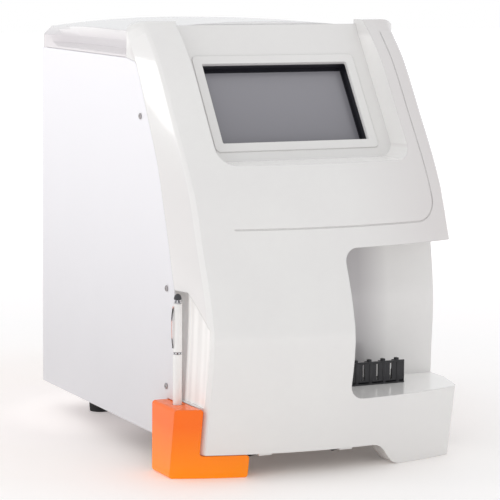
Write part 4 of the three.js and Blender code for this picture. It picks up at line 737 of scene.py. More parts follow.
@dataclass(frozen=True)
class PaleBench:
    """Bright bench top with painted light and shadow round the analyzer, fading into the pale room
    away from it.
    """

    name: str = "pale_bench_top"
    color: Color = (0.96, 0.93, 0.91)
    second: Color = (0.94, 0.91, 0.89)
    mottle: float = 0.5
    mottle_scale: float = 3.0
    roughness: float = 0.6
    # Painted light: the bench glows by its distance from this centre; warm light under the
    # analyzer lifts its shadow, a dimmer ring keeps the shadow's edge, and the glow grows far off
    # so the bench melts into the pale room.
    painted_light_centre: Span = (-0.07, 0.14)
    glow: tuple[tuple[float, Color], ...] = (
        (0.0, (0.3, 0.27, 0.27)), (0.07, (0.28, 0.25, 0.245)), (0.14, (0.115, 0.095, 0.09)),
        (0.21, (0.1, 0.08, 0.07)), (0.315, (0.1, 0.088, 0.08)), (0.42, (0.125, 0.13, 0.135)),
        (0.6, (0.13, 0.143, 0.155)), (0.9, (0.19, 0.185, 0.2)), (1.6, (0.45, 0.45, 0.46)),
        (3.5, (0.7, 0.7, 0.71)))

    def material(self) -> bpy.types.Material:
        """Builds the bench top's material.

        Returns:
            The material.
        """
        made = new_material(self.name)
        sheet = NodeSheet(made.node_tree)
        tone = CLOUDY_TONE.use(sheet, Color=(*self.color, 1), Second_Color=(*self.second, 1),
                               Amount=self.mottle, Scale=self.mottle_scale)
        flat = sheet.place("ShaderNodeMapping", Vector=sheet.local(),
                           Location=(-self.painted_light_centre[0], -self.painted_light_centre[1], 0), Scale=(1, 1, 0))
        away = sheet.place("ShaderNodeVectorMath", Vector=flat.outputs[0], operation="LENGTH")
        ramp = sheet.tree.nodes.new("ShaderNodeValToRGB")
        reach = self.glow[-1][0]
        sheet.feed(ramp.inputs[0], sheet.maths("DIVIDE", away.outputs["Value"], reach))
        stops = ramp.color_ramp.elements
        for index, (far, value) in enumerate(self.glow):
            stop = stops[index] if index < READY_STOPS else stops.new(far / reach)
            stop.position = far / reach
            stop.color = (*value, 1)
        # The glow is the painted light and shadow round the analyzer.
        surface = sheet.place("ShaderNodeBsdfPrincipled", Base_Color=tone.outputs["Color"],
                              Roughness=self.roughness, Emission_Color=ramp.outputs[0],
                              Emission_Strength=1.0)
        sheet.place("ShaderNodeOutputMaterial", Surface=surface.outputs[0])
        return made


class Finishes:
    """All finishes of the analyzer."""

    fascia = FrontMoulding(
        "gloss_white_moulding", Slot.FASCIA, shade(233, 232, 230), shade(228, 226, 225),
        roughness=0.2, uneven=0.03, coat=0.6, coat_roughness=0.06, wave=0.6, wave_scale=7.0,
        grain=0.02, relief=0.00005, edge=0.0012, rub=0.1, rub_color=shade(246, 245, 244),
        dust=0.04)
    # Painted light: the lower lilac tone is painted shade in the scoop under the crown, and the
    # lighter top is painted light on the crown.
    cover = HeightPaintedLight(
        "satin_white_cover", Slot.COVER, shade(216, 211, 213), shade(210, 205, 208),
        roughness=0.22, uneven=0.04, coat=0.5, coat_roughness=0.08, wave=0.5, wave_scale=7.0,
        grain=0.03, relief=0.00005, edge=0.0015, rub=0.1, rub_color=shade(246, 245, 244),
        dust=0.04, low_z=0.39, high_z=0.402, painted_light_top=shade(238, 237, 237))
    # Painted light: the sheet is darker low down and lighter towards its top, as the light falls.
    side_panel = HeightPaintedLight(
        "powder_coated_side", Slot.SIDE_PANEL, shade(219, 218, 221), shade(215, 214, 217),
        roughness=0.42, uneven=0.08, wave=0.2, wave_scale=5.0, grain=0.3, grain_scale=1800.0,
        edge=0.0008, rub=0.12, rub_color=shade(244, 243, 246), low_z=0.06, high_z=0.4,
        painted_light_top=shade(243, 242, 246))
    rear_panel = Finish(
        "powder_coated_rear", Slot.REAR_PANEL, shade(232, 231, 236), shade(226, 225, 231),
        roughness=0.45, uneven=0.08, grain=0.3, grain_scale=1800.0, rub=0.12)
    # Painted light: the lower part is yellower and glows with painted bounce light from the bright
    # bench, deepening to orange at the top.
    accent = HeightPaintedLight(
        "gloss_orange_moulding", Slot.ACCENT, shade(255, 147, 0), shade(255, 141, 0),
        roughness=0.14, coat=0.85, coat_roughness=0.01, uneven=0.03, wave=0.5, wave_scale=12.0,
        grain=0.02, relief=0.00004, edge=0.0012, rub=0.25, rub_color=shade(255, 150, 80), dust=0.0,
        specular=0.0, high_z=0.05, painted_light_top=shade(255, 112, 0), painted_bounce_low=0.12, painted_bounce_high=0.03)
    stylus_barrel = Finish(
        "gloss_white_barrel", Slot.STYLUS, shade(238, 237, 235), shade(230, 229, 227),
        roughness=0.14, uneven=0.03, coat=0.6, grain=0.02, edge=0.0003, mottle_scale=60.0,
        dust=0.0)
    stylus_chrome = BrushedMetal(
        "plated_stylus_metal", Slot.STYLUS_METAL, shade(214, 214, 217), shade(198, 196, 200),
        metallic=1.0, roughness=0.08, uneven=0.05, grain=0.05, edge=0.0002, mottle_scale=90.0,
        dust=0.0, along=Axis.Z, streak=0.04)
    clip_metal = BandedTone(
        "plated_clip_dark_ends", Slot.STYLUS_METAL, shade(222, 186, 178), shade(196, 150, 142),
        metallic=1.0, roughness=0.16, grain=0.05, edge=0.0002, mottle_scale=90.0, dust=0.0,
        bands=((0.118, 0.128), (0.1445, 0.156)), band_color=shade(40, 36, 38), fade=0.0012)
    stylus_rubber = Finish(
        "soft_grey_tip", Slot.STYLUS_RUBBER, shade(66, 66, 70), shade(52, 52, 56), roughness=0.55,
        uneven=0.1, grain=0.3, grain_scale=2600.0, edge=0.0003, mottle_scale=120.0,
        rub_color=shade(96, 96, 100), dust=0.05)
    # Painted light: the grey glass grows lighter towards its top, as the room's light reflects in
    # it.
    screen_glass = HeightPaintedLight(
        "grey_screen_glass", Slot.SCREEN_GLASS, shade(130, 129, 135), shade(127, 126, 132),
        mottle=0.4, mottle_scale=20.0, roughness=0.12, uneven=0.03, coat=0.4, coat_roughness=0.03,
        grain=0.01, edge=0.0002, dust=0.02, low_z=0.29, high_z=0.375,
        painted_light_top=shade(150, 149, 155))
    black_moulding = Finish(
        "black_moulded_frame", Slot.BLACK_PARTS, shade(30, 30, 38), shade(22, 22, 29),
        roughness=0.35, uneven=0.08, grain=0.3, grain_scale=2000.0, edge=0.0004,
        rub_color=shade(80, 80, 88), dust=0.03)
    rack_black = Finish(
        "satin_black_rack", Slot.RACK, shade(34, 34, 38), shade(25, 25, 29), roughness=0.36,
        uneven=0.1, grain=0.3, grain_scale=1500.0, relief=0.00003, edge=0.0004, rub=0.3,
        rub_color=shade(92, 92, 96), dust=0.1, dust_color=shade(110, 108, 106))
    sheet_steel = BrushedMetal(
        "zinc_plated_sheet", Slot.CHASSIS_STEEL, shade(178, 181, 184), shade(160, 163, 168),
        metallic=1.0, grain=0.1, edge=0.0004, mottle=0.8, mottle_scale=40.0, streak=0.15)
    bright_steel = BrushedMetal(
        "turned_bright_steel", Slot.BRIGHT_STEEL, shade(196, 199, 202), shade(180, 183, 188),
        metallic=1.0, roughness=0.18, grain=0.05, edge=0.0003, along=Axis.Z, streak=0.08)
    screw_steel = BrushedMetal(
        "nickel_plated_screw", Slot.SCREWS, shade(176, 172, 172), shade(150, 146, 148),
        metallic=1.0, roughness=0.25, grain=0.1, edge=0.0002, mottle_scale=200.0,
        rub_color=shade(222, 220, 220), dust=0.05, streak=0.06)
    rubber = Finish(
        "black_foot_rubber", Slot.RUBBER_FEET, shade(38, 38, 40), shade(30, 30, 32),
        roughness=0.75, uneven=0.12, grain=0.5, grain_scale=1200.0, relief=0.00005, edge=0.0008,
        rub_color=shade(78, 77, 76), dust=0.2, dust_color=shade(120, 117, 112))
    wheel_plastic = Finish(
        "grey_pump_wheel", Slot.PUMP_WHEEL, shade(176, 184, 190), shade(164, 172, 179), grain=0.1,
        edge=0.0004)
    electrode_plastic = Finish(
        "clear_grey_electrode", Slot.ELECTRODES, shade(198, 208, 214), shade(186, 197, 205),
        roughness=0.16, coat=0.3, grain=0.05, edge=0.0004, mottle_scale=40.0)
    carton = Finish(
        "printed_board_carton", Slot.CARTON, shade(214, 210, 203), shade(204, 199, 191),
        roughness=0.65, uneven=0.12, grain=0.4, grain_scale=700.0, relief=0.00006, edge=0.0008,
        rub=0.3, rub_color=shade(232, 228, 220))
    board = CircuitTracks(
        "green_solder_mask", Slot.BOARD, shade(26, 86, 56), shade(22, 76, 50), roughness=0.32,
        grain=0.1, edge=0.0002, mottle_scale=60.0)
    dark_pad = Finish(
        "black_edge_pad", Slot.RUBBER_FEET, shade(28, 28, 30), shade(20, 20, 22), roughness=0.6,
        grain=0.4, grain_scale=1500.0, edge=0.0003, mottle_scale=120.0)


@dataclass(frozen=True)
class FrontForm:
    """The bowed front of the housing, its ridges and its returns, from its foremost line."""

    height: float = 412 * MM
    reach: float = 164 * MM
    bow_radius: float = 402 * MM
    ridge: float = 131 * MM
    side: float = 143 * MM
    return_length: float = 47 * MM
    ridge_round: float = 5 * MM
    land: float = 1 * MM
    panel_top: float = 377.3 * MM
    corner_rise: float = 5 * MM
    cover_front: float = 194.7 * MM
    step: float = 0.5 * MM
    profile_shares: tuple[Span, ...] = (
        (0, 0.134), (0.146, 0.067), (0.303, 0), (0.4, 0.052), (0.505, 0.159), (0.636, 0.29),
        (0.803, 0.567), (0.91, 0.756), (0.976, 0.92), (1, 1))
    return_shares: tuple[Span, ...] = (
        (0, 1), (0.41, 1), (0.52, 0.93), (0.61, 0.92), (0.7, 0.78), (0.8, 0.67), (0.85, 0.61),
        (1, 0.5))

    @staticmethod
    def smooth(table: Sequence[Span], place: float) -> float:
        """Reads a table with a smooth line through its points.

        Args:
            table: pairs of place and value.
            place: where to read it.

        Returns:
            The value there.
        """
        last = len(table) - 1
        if place <= table[0][0]:
            return table[0][1]
        if place >= table[last][0]:
            return table[last][1]
        i = 0
        while place > table[i + 1][0]:
            i += 1

        def slope(k: int) -> float:
            """Gives the slope at one point of the table."""
            a, b = table[max(k - 1, 0)], table[min(k + 1, last)]
            return (b[1] - a[1]) / (b[0] - a[0])
        (x0, y0), (x1, y1) = table[i], table[i + 1]
        t = (place - x0) / (x1 - x0)
        t2, t3 = t * t, t * t * t
        return ((2 * t3 - 3 * t2 + 1) * y0 + (t3 - 2 * t2 + t) * (x1 - x0) * slope(i)
                + (3 * t2 - 2 * t3) * y1 + (t3 - t2) * (x1 - x0) * slope(i + 1))

    def profile(self, z: float) -> float:
        """Gives the depth of the middle line at a height."""
        return self.reach * self.smooth(self.profile_shares, z / self.height)

    def bow(self, x: float) -> float:
        """Gives the depth that the bow adds away from the middle."""
        return self.bow_radius - math.sqrt(self.bow_radius ** 2 - x * x)

    def face(self, x: float, z: float) -> float:
        """Gives the depth of the front at a place."""
        return self.profile(z) + self.bow(x)

    def bend(self, z: float) -> float:
        """Gives the depth at which the return meets the side.

        Args:
            z: height.

        Returns:
            The depth.
        """
        share = self.smooth(self.return_shares, z / self.height)
        back = self.face(self.ridge, z) + self.return_length * share
        return min(back, self.seam(z, back)) - self.land

    def seam(self, z: float, back: float) -> float:
        """Gives the depth of the seam to the side panel.

        Args:
            z: height.
            back: the return's own depth there.

        Returns:
            The seam's depth.
        """
        low = self.panel_top - self.corner_rise
        if z >= self.panel_top:
            return self.cover_front
        if z <= low:
            return back
        t = (z - low) / self.corner_rise
        return back + (self.cover_front - back) * (1 - math.sqrt(1 - t * t))

    def face_normal(self, x: float, z: float) -> Vector:
        """Gives the direction that the front looks in.

        Args:
            x: place to the right of the middle.
            z: height.

        Returns:
            The outward direction.
        """
        d = self.step
        along_x = x / math.sqrt(self.bow_radius ** 2 - x * x)
        along_z = (self.profile(z + d) - self.profile(z - d)) / (2 * d)
        return Vector((along_x, -1, along_z)).normalized()

    def return_normal(self, share: float, z: float, sign: float) -> Vector:
        """Gives the direction that a return looks in.

        Args:
            share: place from the ridge at 0 to the side at 1.
            z: height.
            sign: 1 for the right return and -1 for the left one.

        Returns:
            The outward direction.
        """
        d = self.step

        def depth(level: float) -> float:
            """Gives the depth of the return at a height."""
            start = self.face(self.ridge, level)
            return start + (self.bend(level) - start) * share
        across = self.side - self.ridge
        back = self.bend(z) - self.face(self.ridge, z)
        rise = (depth(z + d) - depth(z - d)) / (2 * d)
        return Vector((sign * back, -across, across * rise)).normalized()


def soft_shading_group() -> bpy.types.NodeTree:
    """Builds the modifier group that welds a mesh and shades its curved faces softly.

    Returns:
        The shared geometry group.
    """
    name = "soft_shading"
    ready = bpy.data.node_groups.get(name)
    if ready:
        return ready
    tree = bpy.data.node_groups.new(name, "GeometryNodeTree")
    tree.is_modifier = True
    for way in ("INPUT", "OUTPUT"):
        tree.interface.new_socket("Geometry", in_out=way, socket_type="NodeSocketGeometry")
    sheet = NodeSheet(tree)
    entry = tree.nodes.new("NodeGroupInput")
    leave = tree.nodes.new("NodeGroupOutput")
    weld = sheet.place("GeometryNodeMergeByDistance", Geometry=entry.outputs[0], Distance=WELD)
    fold = sheet.place("GeometryNodeInputMeshEdgeAngle")
    sharp = sheet.place("FunctionNodeCompare", data_type="FLOAT", operation="GREATER_THAN")
    sheet.feed(sharp.inputs[0], fold.outputs["Unsigned Angle"])
    sheet.feed(sharp.inputs[1], math.radians(SHARP_ANGLE))
    shaded = sheet.place("GeometryNodeSetMeshNormal", mode="SHARPNESS", Mesh=weld.outputs[0],
                         Remove_Custom=True, Edge_Sharpness=sharp.outputs[0],
                         Face_Sharpness=False)
    sheet.feed(leave.inputs[0], shaded.outputs[0])
    return tree


def mesh_from(bm: Work, name: str, angle: float = SHARP_ANGLE) -> bpy.types.Mesh:
    """Turns worked geometry into a softly shaded mesh.

    Args:
        bm: the worked geometry, which is freed.
        name: the mesh's name.
        angle: edges that fold more than this many degrees stay sharp.

    Returns:
        The mesh.
    """
    bmesh.ops.recalc_face_normals(bm, faces=bm.faces)
    limit = math.radians(angle)
    for face in bm.faces:
        face.smooth = True
    for edge in bm.edges:
        edge.smooth = edge.is_manifold and edge.calc_face_angle(0) < limit
    mesh = bpy.data.meshes.new(name)
    bm.to_mesh(mesh)
    bm.free()
    return mesh


def turned(profile: Sequence[Span], steps: int = 40) -> Work:
    """Turns a closed outline round the Z axis.

    Args:
        profile: radius and height pairs from the axis at one end to the axis at the other.
        steps: segments of the round.

    Returns:
        The turned solid.
    """
    bm = bmesh.new()
    rings: list[list[bmesh.types.BMVert]] = []
    for radius, z in profile:
        if radius < WELD:
            rings.append([bm.verts.new((0, 0, z))])
            continue
        turns = [2 * math.pi * i / steps for i in range(steps)]
        rings.append([bm.verts.new((radius * math.cos(turn), radius * math.sin(turn), z))
                      for turn in turns])
    for low, high in zip(rings, rings[1:]):
        for i in range(steps):
            j = (i + 1) % steps
            ends = ((low, i), (low, j), (high, j), (high, i))
            unique = list(dict.fromkeys(ring[k % len(ring)] for ring, k in ends))
            if len(unique) > 2:
                bm.faces.new(unique)
    return bm


def softened_block(low: Point, high: Point, width: float, segments: int) -> Work:
    """Makes a block with rounded edges.

    Args:
        low: its lowest corner.
        high: its highest corner.
        width: how wide the rounding is.
        segments: steps of the rounding.

    Returns:
        The block.
    """
    bm = bmesh.new()
    bmesh.ops.create_cube(bm, size=1)
    size = [b - a for a, b in zip(low, high)]
    middle = [(a + b) / 2 for a, b in zip(low, high)]
    bm.transform(Matrix.Translation(middle) @ Matrix.Diagonal((*size, 1)))
    bmesh.ops.bevel(bm, geom=bm.edges[:], offset=width, segments=segments, affect="EDGES",
                    profile=ROUND_PROFILE, clamp_overlap=True)
    return bm


def merge_into(bm: Work, part: Work) -> None:
    """Adds one worked geometry to another.

    Args:
        bm: the geometry that grows.
        part: the geometry that is added and freed.
    """
    spare = bpy.data.meshes.new("part")
    part.to_mesh(spare)
    part.free()
    bm.from_mesh(spare)
    bpy.data.meshes.remove(spare)


@dataclass
class SubAssembly:
    """A group of pieces that are built and dressed together."""

    body: Body = Body.CHASSIS
    title: str = "sub-assembly"

    def build(self) -> None:
        """Builds and dresses the pieces."""
        raise NotImplementedError

    def dress(self, finish: Finish, *nodes: str) -> None:
        """Gives CAD nodes a finish and soft shading.

        Args:
            finish: the finish of the nodes.
            *nodes: names of the CAD nodes.
        """
        for name in nodes:
            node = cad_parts[name]
            node.data.materials.clear()
            node.data.materials.append(finish.material())
            soften = node.modifiers.new("soft_shading", "NODES")
            soften.node_group = soft_shading_group()
            even = node.modifiers.new("even_normals", "WEIGHTED_NORMAL")
            even.keep_sharp = True
            log.info("%s: dressed %s with %s", self.title, name, finish.name)

    def add(self, name: str, mesh: bpy.types.Mesh, finish: Finish,
            replaces: Iterable[str] = ()) -> None:
        """Adds a piece that rides on the sub-assembly's body.

        Args:
            name: the piece's name.
            mesh: its mesh in the row frame.
            finish: its finish.
            replaces: CAD nodes that it stands for.
        """
        piece = bpy.data.objects.new(name, mesh)
        bpy.context.scene.collection.objects.link(piece)
        mesh.materials.clear()
        mesh.materials.append(finish.material())
        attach(piece, self.body.value)
        names = list(replaces)
        if names:
            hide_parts(*names)
        log.info("%s: added %s on %s", self.title, name, self.body.value)


@dataclass(frozen=True)
class CrossScrew:
    """Pan head screw with a cross recess, with its sizes as shares of its CAD node's."""

    steps: int = 32
    fold: float = 30
    head_rise: float = 0.46
    shank: float = 0.45
    shank_end: float = 0.4
    chamfer: float = 0.3 * MM
    under_head: float = 0.1 * MM
    head_shape: tuple[Span, ...] = (
        (0.9, 1), (1, 0.9), (1, 0.6), (0.9, 0.28), (0.68, 0.08), (0.4, 0), (0, 0))
    flat: float = 0.05
    cuts: int = 2
    recess_reach: float = 0.1
    arm: float = 0.62
    arm_half: float = 0.15
    recess: float = 0.7
    taper: float = 0.4

    def mesh(self, node: str, sign: float) -> bpy.types.Mesh:
        """Shapes the screw in the room of its CAD node.

        Args:
            node: the CAD screw.
            sign: 1 where the head faces +X and -1 where it faces -X.

        Returns:
            The screw's mesh.
        """
        low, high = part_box(node)
        radius = (high.z - low.z) / 2
        length = high.x - low.x
        rise = radius * self.head_rise
        shank = radius * self.shank
        profile = [(0, 0), (radius * self.shank_end, 0), (shank, self.chamfer),
                   (shank, length - rise - self.under_head)]
        profile += [(radius * out, length - rise * drop) for out, drop in self.head_shape]
        bm = turned(profile, self.steps)
        self.press_recess(bm, radius, length, rise)
        turn = Matrix.Rotation(math.radians(90) * sign, 4, "Y")
        start = Vector((low.x if sign > 0 else high.x, (low.y + high.y) / 2,
                        (low.z + high.z) / 2))
        bm.transform(Matrix.Translation(start) @ turn)
        return mesh_from(bm, node.replace("panel", "cross"), self.fold)

    def press_recess(self, bm: Work, radius: float, length: float,
                     rise: float) -> None:
        """Presses a cross into the head of a screw that stands along Z.

        Args:
            bm: the screw.
            radius: radius of its head.
            length: its length.
            rise: height of its head.
        """
        tops = [f for f in bm.faces if f.calc_center_median().z > length - rise * self.flat]
        bmesh.ops.subdivide_edges(bm, edges=list({e for f in tops for e in f.edges}),
                                  cuts=self.cuts, use_grid_fill=True)
        arm, half = radius * self.arm, radius * self.arm_half
        for vert in bm.verts:
            if vert.co.z < length - rise * self.recess_reach:
                continue
            x, y = abs(vert.co.x), abs(vert.co.y)
            if min(x, y) < half and max(x, y) < arm:
                vert.co.z -= rise * self.recess * (1 - max(x, y) / arm * self.taper)


@dataclass
class Housing(SubAssembly):
    """Front moulding, cover, side and rear sheets with their screws and edge pads."""

    title: str = "housing"
    form: FrontForm = field(default_factory=FrontForm)
    screw: CrossScrew = field(default_factory=CrossScrew)
    off_front: float = 0.35 * MM
    aligned: float = 0.96
    crease: float = 34.0
    top_edge: float = 4 * MM
    return_end: float = 1.001
    return_start: float = 0.1
    screw_sides: tuple[tuple[str, float], ...] = (("left", -1.0), ("right", 1.0))
    screw_count: int = 3
    pads: tuple[Span, ...] = ((-88.6 * MM, -80.9 * MM), (-8.2 * MM, -0.9 * MM))
    pad_depth: Span = (3.3 * MM, 13 * MM)
    pad_height: Span = (19.6 * MM, 26 * MM)
    pad_level: float = 24 * MM
    pad_rise: float = 1.4 * MM
    pad_round: float = 0.6 * MM
    pad_steps: int = 3

    def build(self) -> None:
        """Builds the front shell, dresses the sheets and sets the screws and pads."""
        self.front_shell()
        self.dress(Finishes.cover, "top_cover")
        self.dress(Finishes.side_panel, "left_side_panel", "right_side_panel")
        self.dress(Finishes.rear_panel, "rear_panel")
        self.side_screws()
        self.edge_pads()

    def front_shell(self) -> None:
        """Makes the front moulding with clean highlights from its formula."""
        bm = bmesh.new()
        bm.from_mesh(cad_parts["front_fascia"].data)
        bmesh.ops.remove_doubles(bm, verts=bm.verts, dist=WELD)
        mesh = mesh_from(bm, "front_shell", self.crease)
        normals = [Vector((0, 0, 0))] * len(mesh.loops)
        for face in mesh.polygons:
            corners = [mesh.vertices[mesh.loops[i].vertex_index].co for i in face.loop_indices]
            found = [self.clean_normal(corner) for corner in corners]
            if all(n is not None and n.dot(face.normal) > self.aligned for n in found):
                for index, normal in zip(face.loop_indices, found):
                    normals[index] = normal
        mesh.normals_split_custom_set(normals)
        self.add("front_shell", mesh, Finishes.fascia, replaces=["front_fascia"])

    def clean_normal(self, place: Vector) -> Vector | None:
        """Finds the formula's direction for a point of the front moulding.

        Args:
            place: the point in the row frame.

        Returns:
            The direction, or None away from the front and its returns.
        """
        form = self.form
        x, depth, z = place.x - CENTRE_X, place.y - FRONT_Y, place.z
        if z > form.height - self.top_edge:
            return None
        if abs(x) < form.ridge - form.ridge_round / 2 + self.off_front:
            near = abs(depth - form.face(x, z)) < self.off_front
            return form.face_normal(x, z) if near else None
        start, end = form.face(form.ridge, z), form.bend(z)
        share = (abs(x) - form.ridge) / (form.side - form.ridge)
        off = abs(depth - (start + (end - start) * share))
        if 0 <= share <= self.return_end and off < 2 * self.off_front:
            return form.return_normal(max(share, self.return_start), z, math.copysign(1.0, x))
        return None

    def side_screws(self) -> None:
        """Sets a pan head screw with a cross recess over each CAD screw."""
        for side, sign in self.screw_sides:
            for number in range(1, self.screw_count + 1):
                name = f"panel_screw_{side}_{number}"
                self.add(f"cross_screw_{side}_{number}", self.screw.mesh(name, sign),
                         Finishes.screw_steel, replaces=[name])

    def edge_pads(self) -> None:
        """Tucks two black pads behind the lower edge of the front."""
        for number, (start, end) in enumerate(self.pads, 1):
            depth = FRONT_Y + self.form.face((start + end) / 2, self.pad_level)
            low, high = zip((start + CENTRE_X, end + CENTRE_X),
                            (depth + self.pad_depth[0], depth + self.pad_depth[1]),
                            self.pad_height)
            bm = softened_block(low, high, self.pad_round, self.pad_steps)
            for vert in bm.verts:
                share = (vert.co.x - low[0]) / (end - start)
                if vert.co.z < self.pad_level:
                    vert.co.z += self.pad_rise * share
            name = f"edge_pad_{number}"
            self.add(name, mesh_from(bm, name), Finishes.dark_pad)


@dataclass
class CornerBlock(SubAssembly):
    """Orange block at the lower left corner."""

    title: str = "corner block"

    def build(self) -> None:
        """Dresses the block."""
        self.dress(Finishes.accent, "corner_holder")


@dataclass
class Stylus(SubAssembly):
    """Touch stylus that stands in the block, with its outlines as shares of its CAD nodes."""

    body: Body = Body.STYLUS
    title: str = "stylus"
    fold: float = 30
    ring_shape: tuple[Span, ...] = (
        (0, 0.94), (0.1, 1), (0.2, 1), (0.22, 1), (0.78, 1), (0.8, 1), (0.9, 1), (1, 0.94))
    ring_notches: tuple[float, float, float, int] = (0.21, 0.79, 0.7 * MM, 8)
    ring_core: float = 0.92
    collar_shape: tuple[Span, ...] = (
        (0, 0.94), (0.08, 1), (0.2, 1), (0.25, 0.97), (0.5, 0.86), (0.75, 0.78), (0.9, 0.74),
        (0.93, 0.74), (1, 0.72))
    collar_notches: tuple[float, float, float, int] = (0.24, 0.92, 1.1 * MM, 6)
    collar_core: float = 0.84
    core_inset: float = 0.04
    notch_steps: int = 8
    notch_pressed: tuple[int, ...] = (3, 4, 5)
    tip_foot: float = 0.7
    tip_shoulder: float = 0.94
    tip_neck: float = 0.3 * MM
    tip_edge: float = 0.4
    tip_steps: int = 12
    clip_line: tuple[Span, ...] = (
        (0.0, 0.2), (0.03, 0.1), (0.1, 0.3), (0.3, 0.72), (0.55, 0.82), (0.78, 0.62),
        (0.9, 0.3), (0.96, 0.08), (1.0, 0.0))
    clip_steps: int = 40
    clip_sides: int = 12
    clip_seat: float = 0.12
    clip_foot: float = 0.62
    clip_half_thickness: float = 0.32 * MM
    clip_squareness: float = 0.6
    clip_fold: float = 50

    def build(self) -> None:
        """Dresses the barrels and shapes the stylus's small parts."""
        self.dress(Finishes.stylus_barrel, "stylus_barrel_lower", "stylus_barrel_upper")
        ring, collar = (self.ring_shape, "stylus_ring"), (self.collar_shape, "stylus_collar")
        self.add("joint_ring", self.scored(*ring, *self.ring_notches), Finishes.stylus_chrome,
                 replaces=["stylus_ring"])
        self.add("tip_collar", self.scored(*collar, *self.collar_notches),
                 Finishes.stylus_chrome, replaces=["stylus_collar"])
        self.add("spring_clip", self.bowed_clip(), Finishes.clip_metal,
                 replaces=["stylus_clip"])
        self.add("domed_tip", self.domed_tip(), Finishes.stylus_rubber,
                 replaces=["stylus_tip"])
        self.add("collar_core", self.core(*collar, self.collar_core), Finishes.stylus_rubber)
        self.add("ring_core", self.core(*ring, self.ring_core), Finishes.stylus_rubber)

    @staticmethod
    def outline(shape: Sequence[Span], node: str, share: float = 1.0,
                inset: float = 0.0) -> list[Span]:
        """Turns an outline's shares into radius and height pairs.

        Args:
            shape: shares of the node's height and radius.
            node: the CAD node.
            share: radius as a share of the node's.
            inset: how far inside its ends it stops, as a share of its height.

        Returns:
            The pairs, from the axis to the axis.
        """
        low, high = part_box(node)
        radius, rise = (high.x - low.x) / 2, high.z - low.z
        pairs = [(0.0, inset)] + [(out * share, min(max(place, inset), 1 - inset))
                                  for place, out in shape] + [(0.0, 1 - inset)]
        return [(radius * out, low.z + rise * place) for out, place in pairs]

    def core(self, shape: Sequence[Span], node: str, share: float) -> bpy.types.Mesh:
        """Shapes the dark core that shows in the slots of a metal part."""
        return self.seated(turned(self.outline(shape, node, share, self.core_inset)), node)

    def seated(self, bm: Work, node: str) -> bpy.types.Mesh:
        """Moves a turned part onto the axis of its CAD node.

        Args:
            bm: the part round the Z axis, with real heights.
            node: the CAD node that it stands for.

        Returns:
            The part's mesh.
        """
        low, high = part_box(node)
        bm.transform(Matrix.Translation(((low.x + high.x) / 2, (low.y + high.y) / 2, 0)))
        return mesh_from(bm, node, self.fold)

    def scored(self, shape: Sequence[Span], node: str, start: float, end: float, depth: float,
               notches: int) -> bpy.types.Mesh:
        """Turns an outline and presses short upright notches into it.

        Args:
            shape: the outline as shares of the node's height and radius.
            node: the CAD node that it stands for.
            start: lower end of the notches as a share of the height.
            end: their upper end.
            depth: how deep they are.
            notches: how many go round.

        Returns:
            The notched mesh.
        """
        low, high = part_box(node)
        rise = high.z - low.z
        steps = notches * self.notch_steps
        bm = turned(self.outline(shape, node), steps)
        for vert in bm.verts:
            reach = math.hypot(vert.co.x, vert.co.y)
            if reach < WELD or not low.z + rise * start <= vert.co.z <= low.z + rise * end:
                continue
            turn = math.atan2(vert.co.y, vert.co.x) / (2 * math.pi)
            if round(turn * steps) % self.notch_steps in self.notch_pressed:
                vert.co.xy *= (reach - depth) / reach
        return self.seated(bm, node)

    def domed_tip(self) -> bpy.types.Mesh:
        """Shapes the soft tip as a round dome over a short neck.

        Returns:
            The tip's mesh.
        """
        low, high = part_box("stylus_tip")
        radius, rise = (high.x - low.x) / 2, high.z - low.z - self.tip_neck
        profile = [(0, low.z), (radius * self.tip_foot, low.z),
                   (radius * self.tip_shoulder, low.z + self.tip_neck * self.tip_edge)]
        for i in range(self.tip_steps):
            turn = math.pi / 2 * i / self.tip_steps
            profile.append((radius * math.cos(turn),
                            low.z + self.tip_neck + rise * math.sin(turn)))
        profile.append((0, high.z))
        return self.seated(turned(profile), "stylus_tip")

    def bowed_clip(self) -> bpy.types.Mesh:
        """Bends the spring clip out from the barrel and back to it.

        Returns:
            The clip's mesh.
        """
        low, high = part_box("stylus_clip")
        size, middle = high - low, (low.y + high.y) / 2
        bm = bmesh.new()
        rings = []
        for i in range(self.clip_steps + 1):
            share = i / self.clip_steps
            x = high.x - size.x * (self.clip_seat + FrontForm.smooth(self.clip_line, share))
            half = size.y / 2 * (self.clip_foot + (1 - self.clip_foot) * share)
            ring = []
            for k in range(self.clip_sides):
                turn = 2 * math.pi * k / self.clip_sides
                wide = abs(math.cos(turn)) ** self.clip_squareness
                off = half * math.copysign(wide, math.cos(turn))
                out = x + self.clip_half_thickness * math.sin(turn)
                ring.append(bm.verts.new((max(out, low.x), middle + off,
                                          low.z + size.z * share)))
            rings.append(ring)
        for below, above in zip(rings, rings[1:]):
            for k in range(self.clip_sides):
                j = (k + 1) % self.clip_sides
                bm.faces.new((below[k], below[j], above[j], above[k]))
        bm.faces.new(rings[0][::-1])
        bm.faces.new(rings[-1])
        return mesh_from(bm, "spring_clip", self.clip_fold)


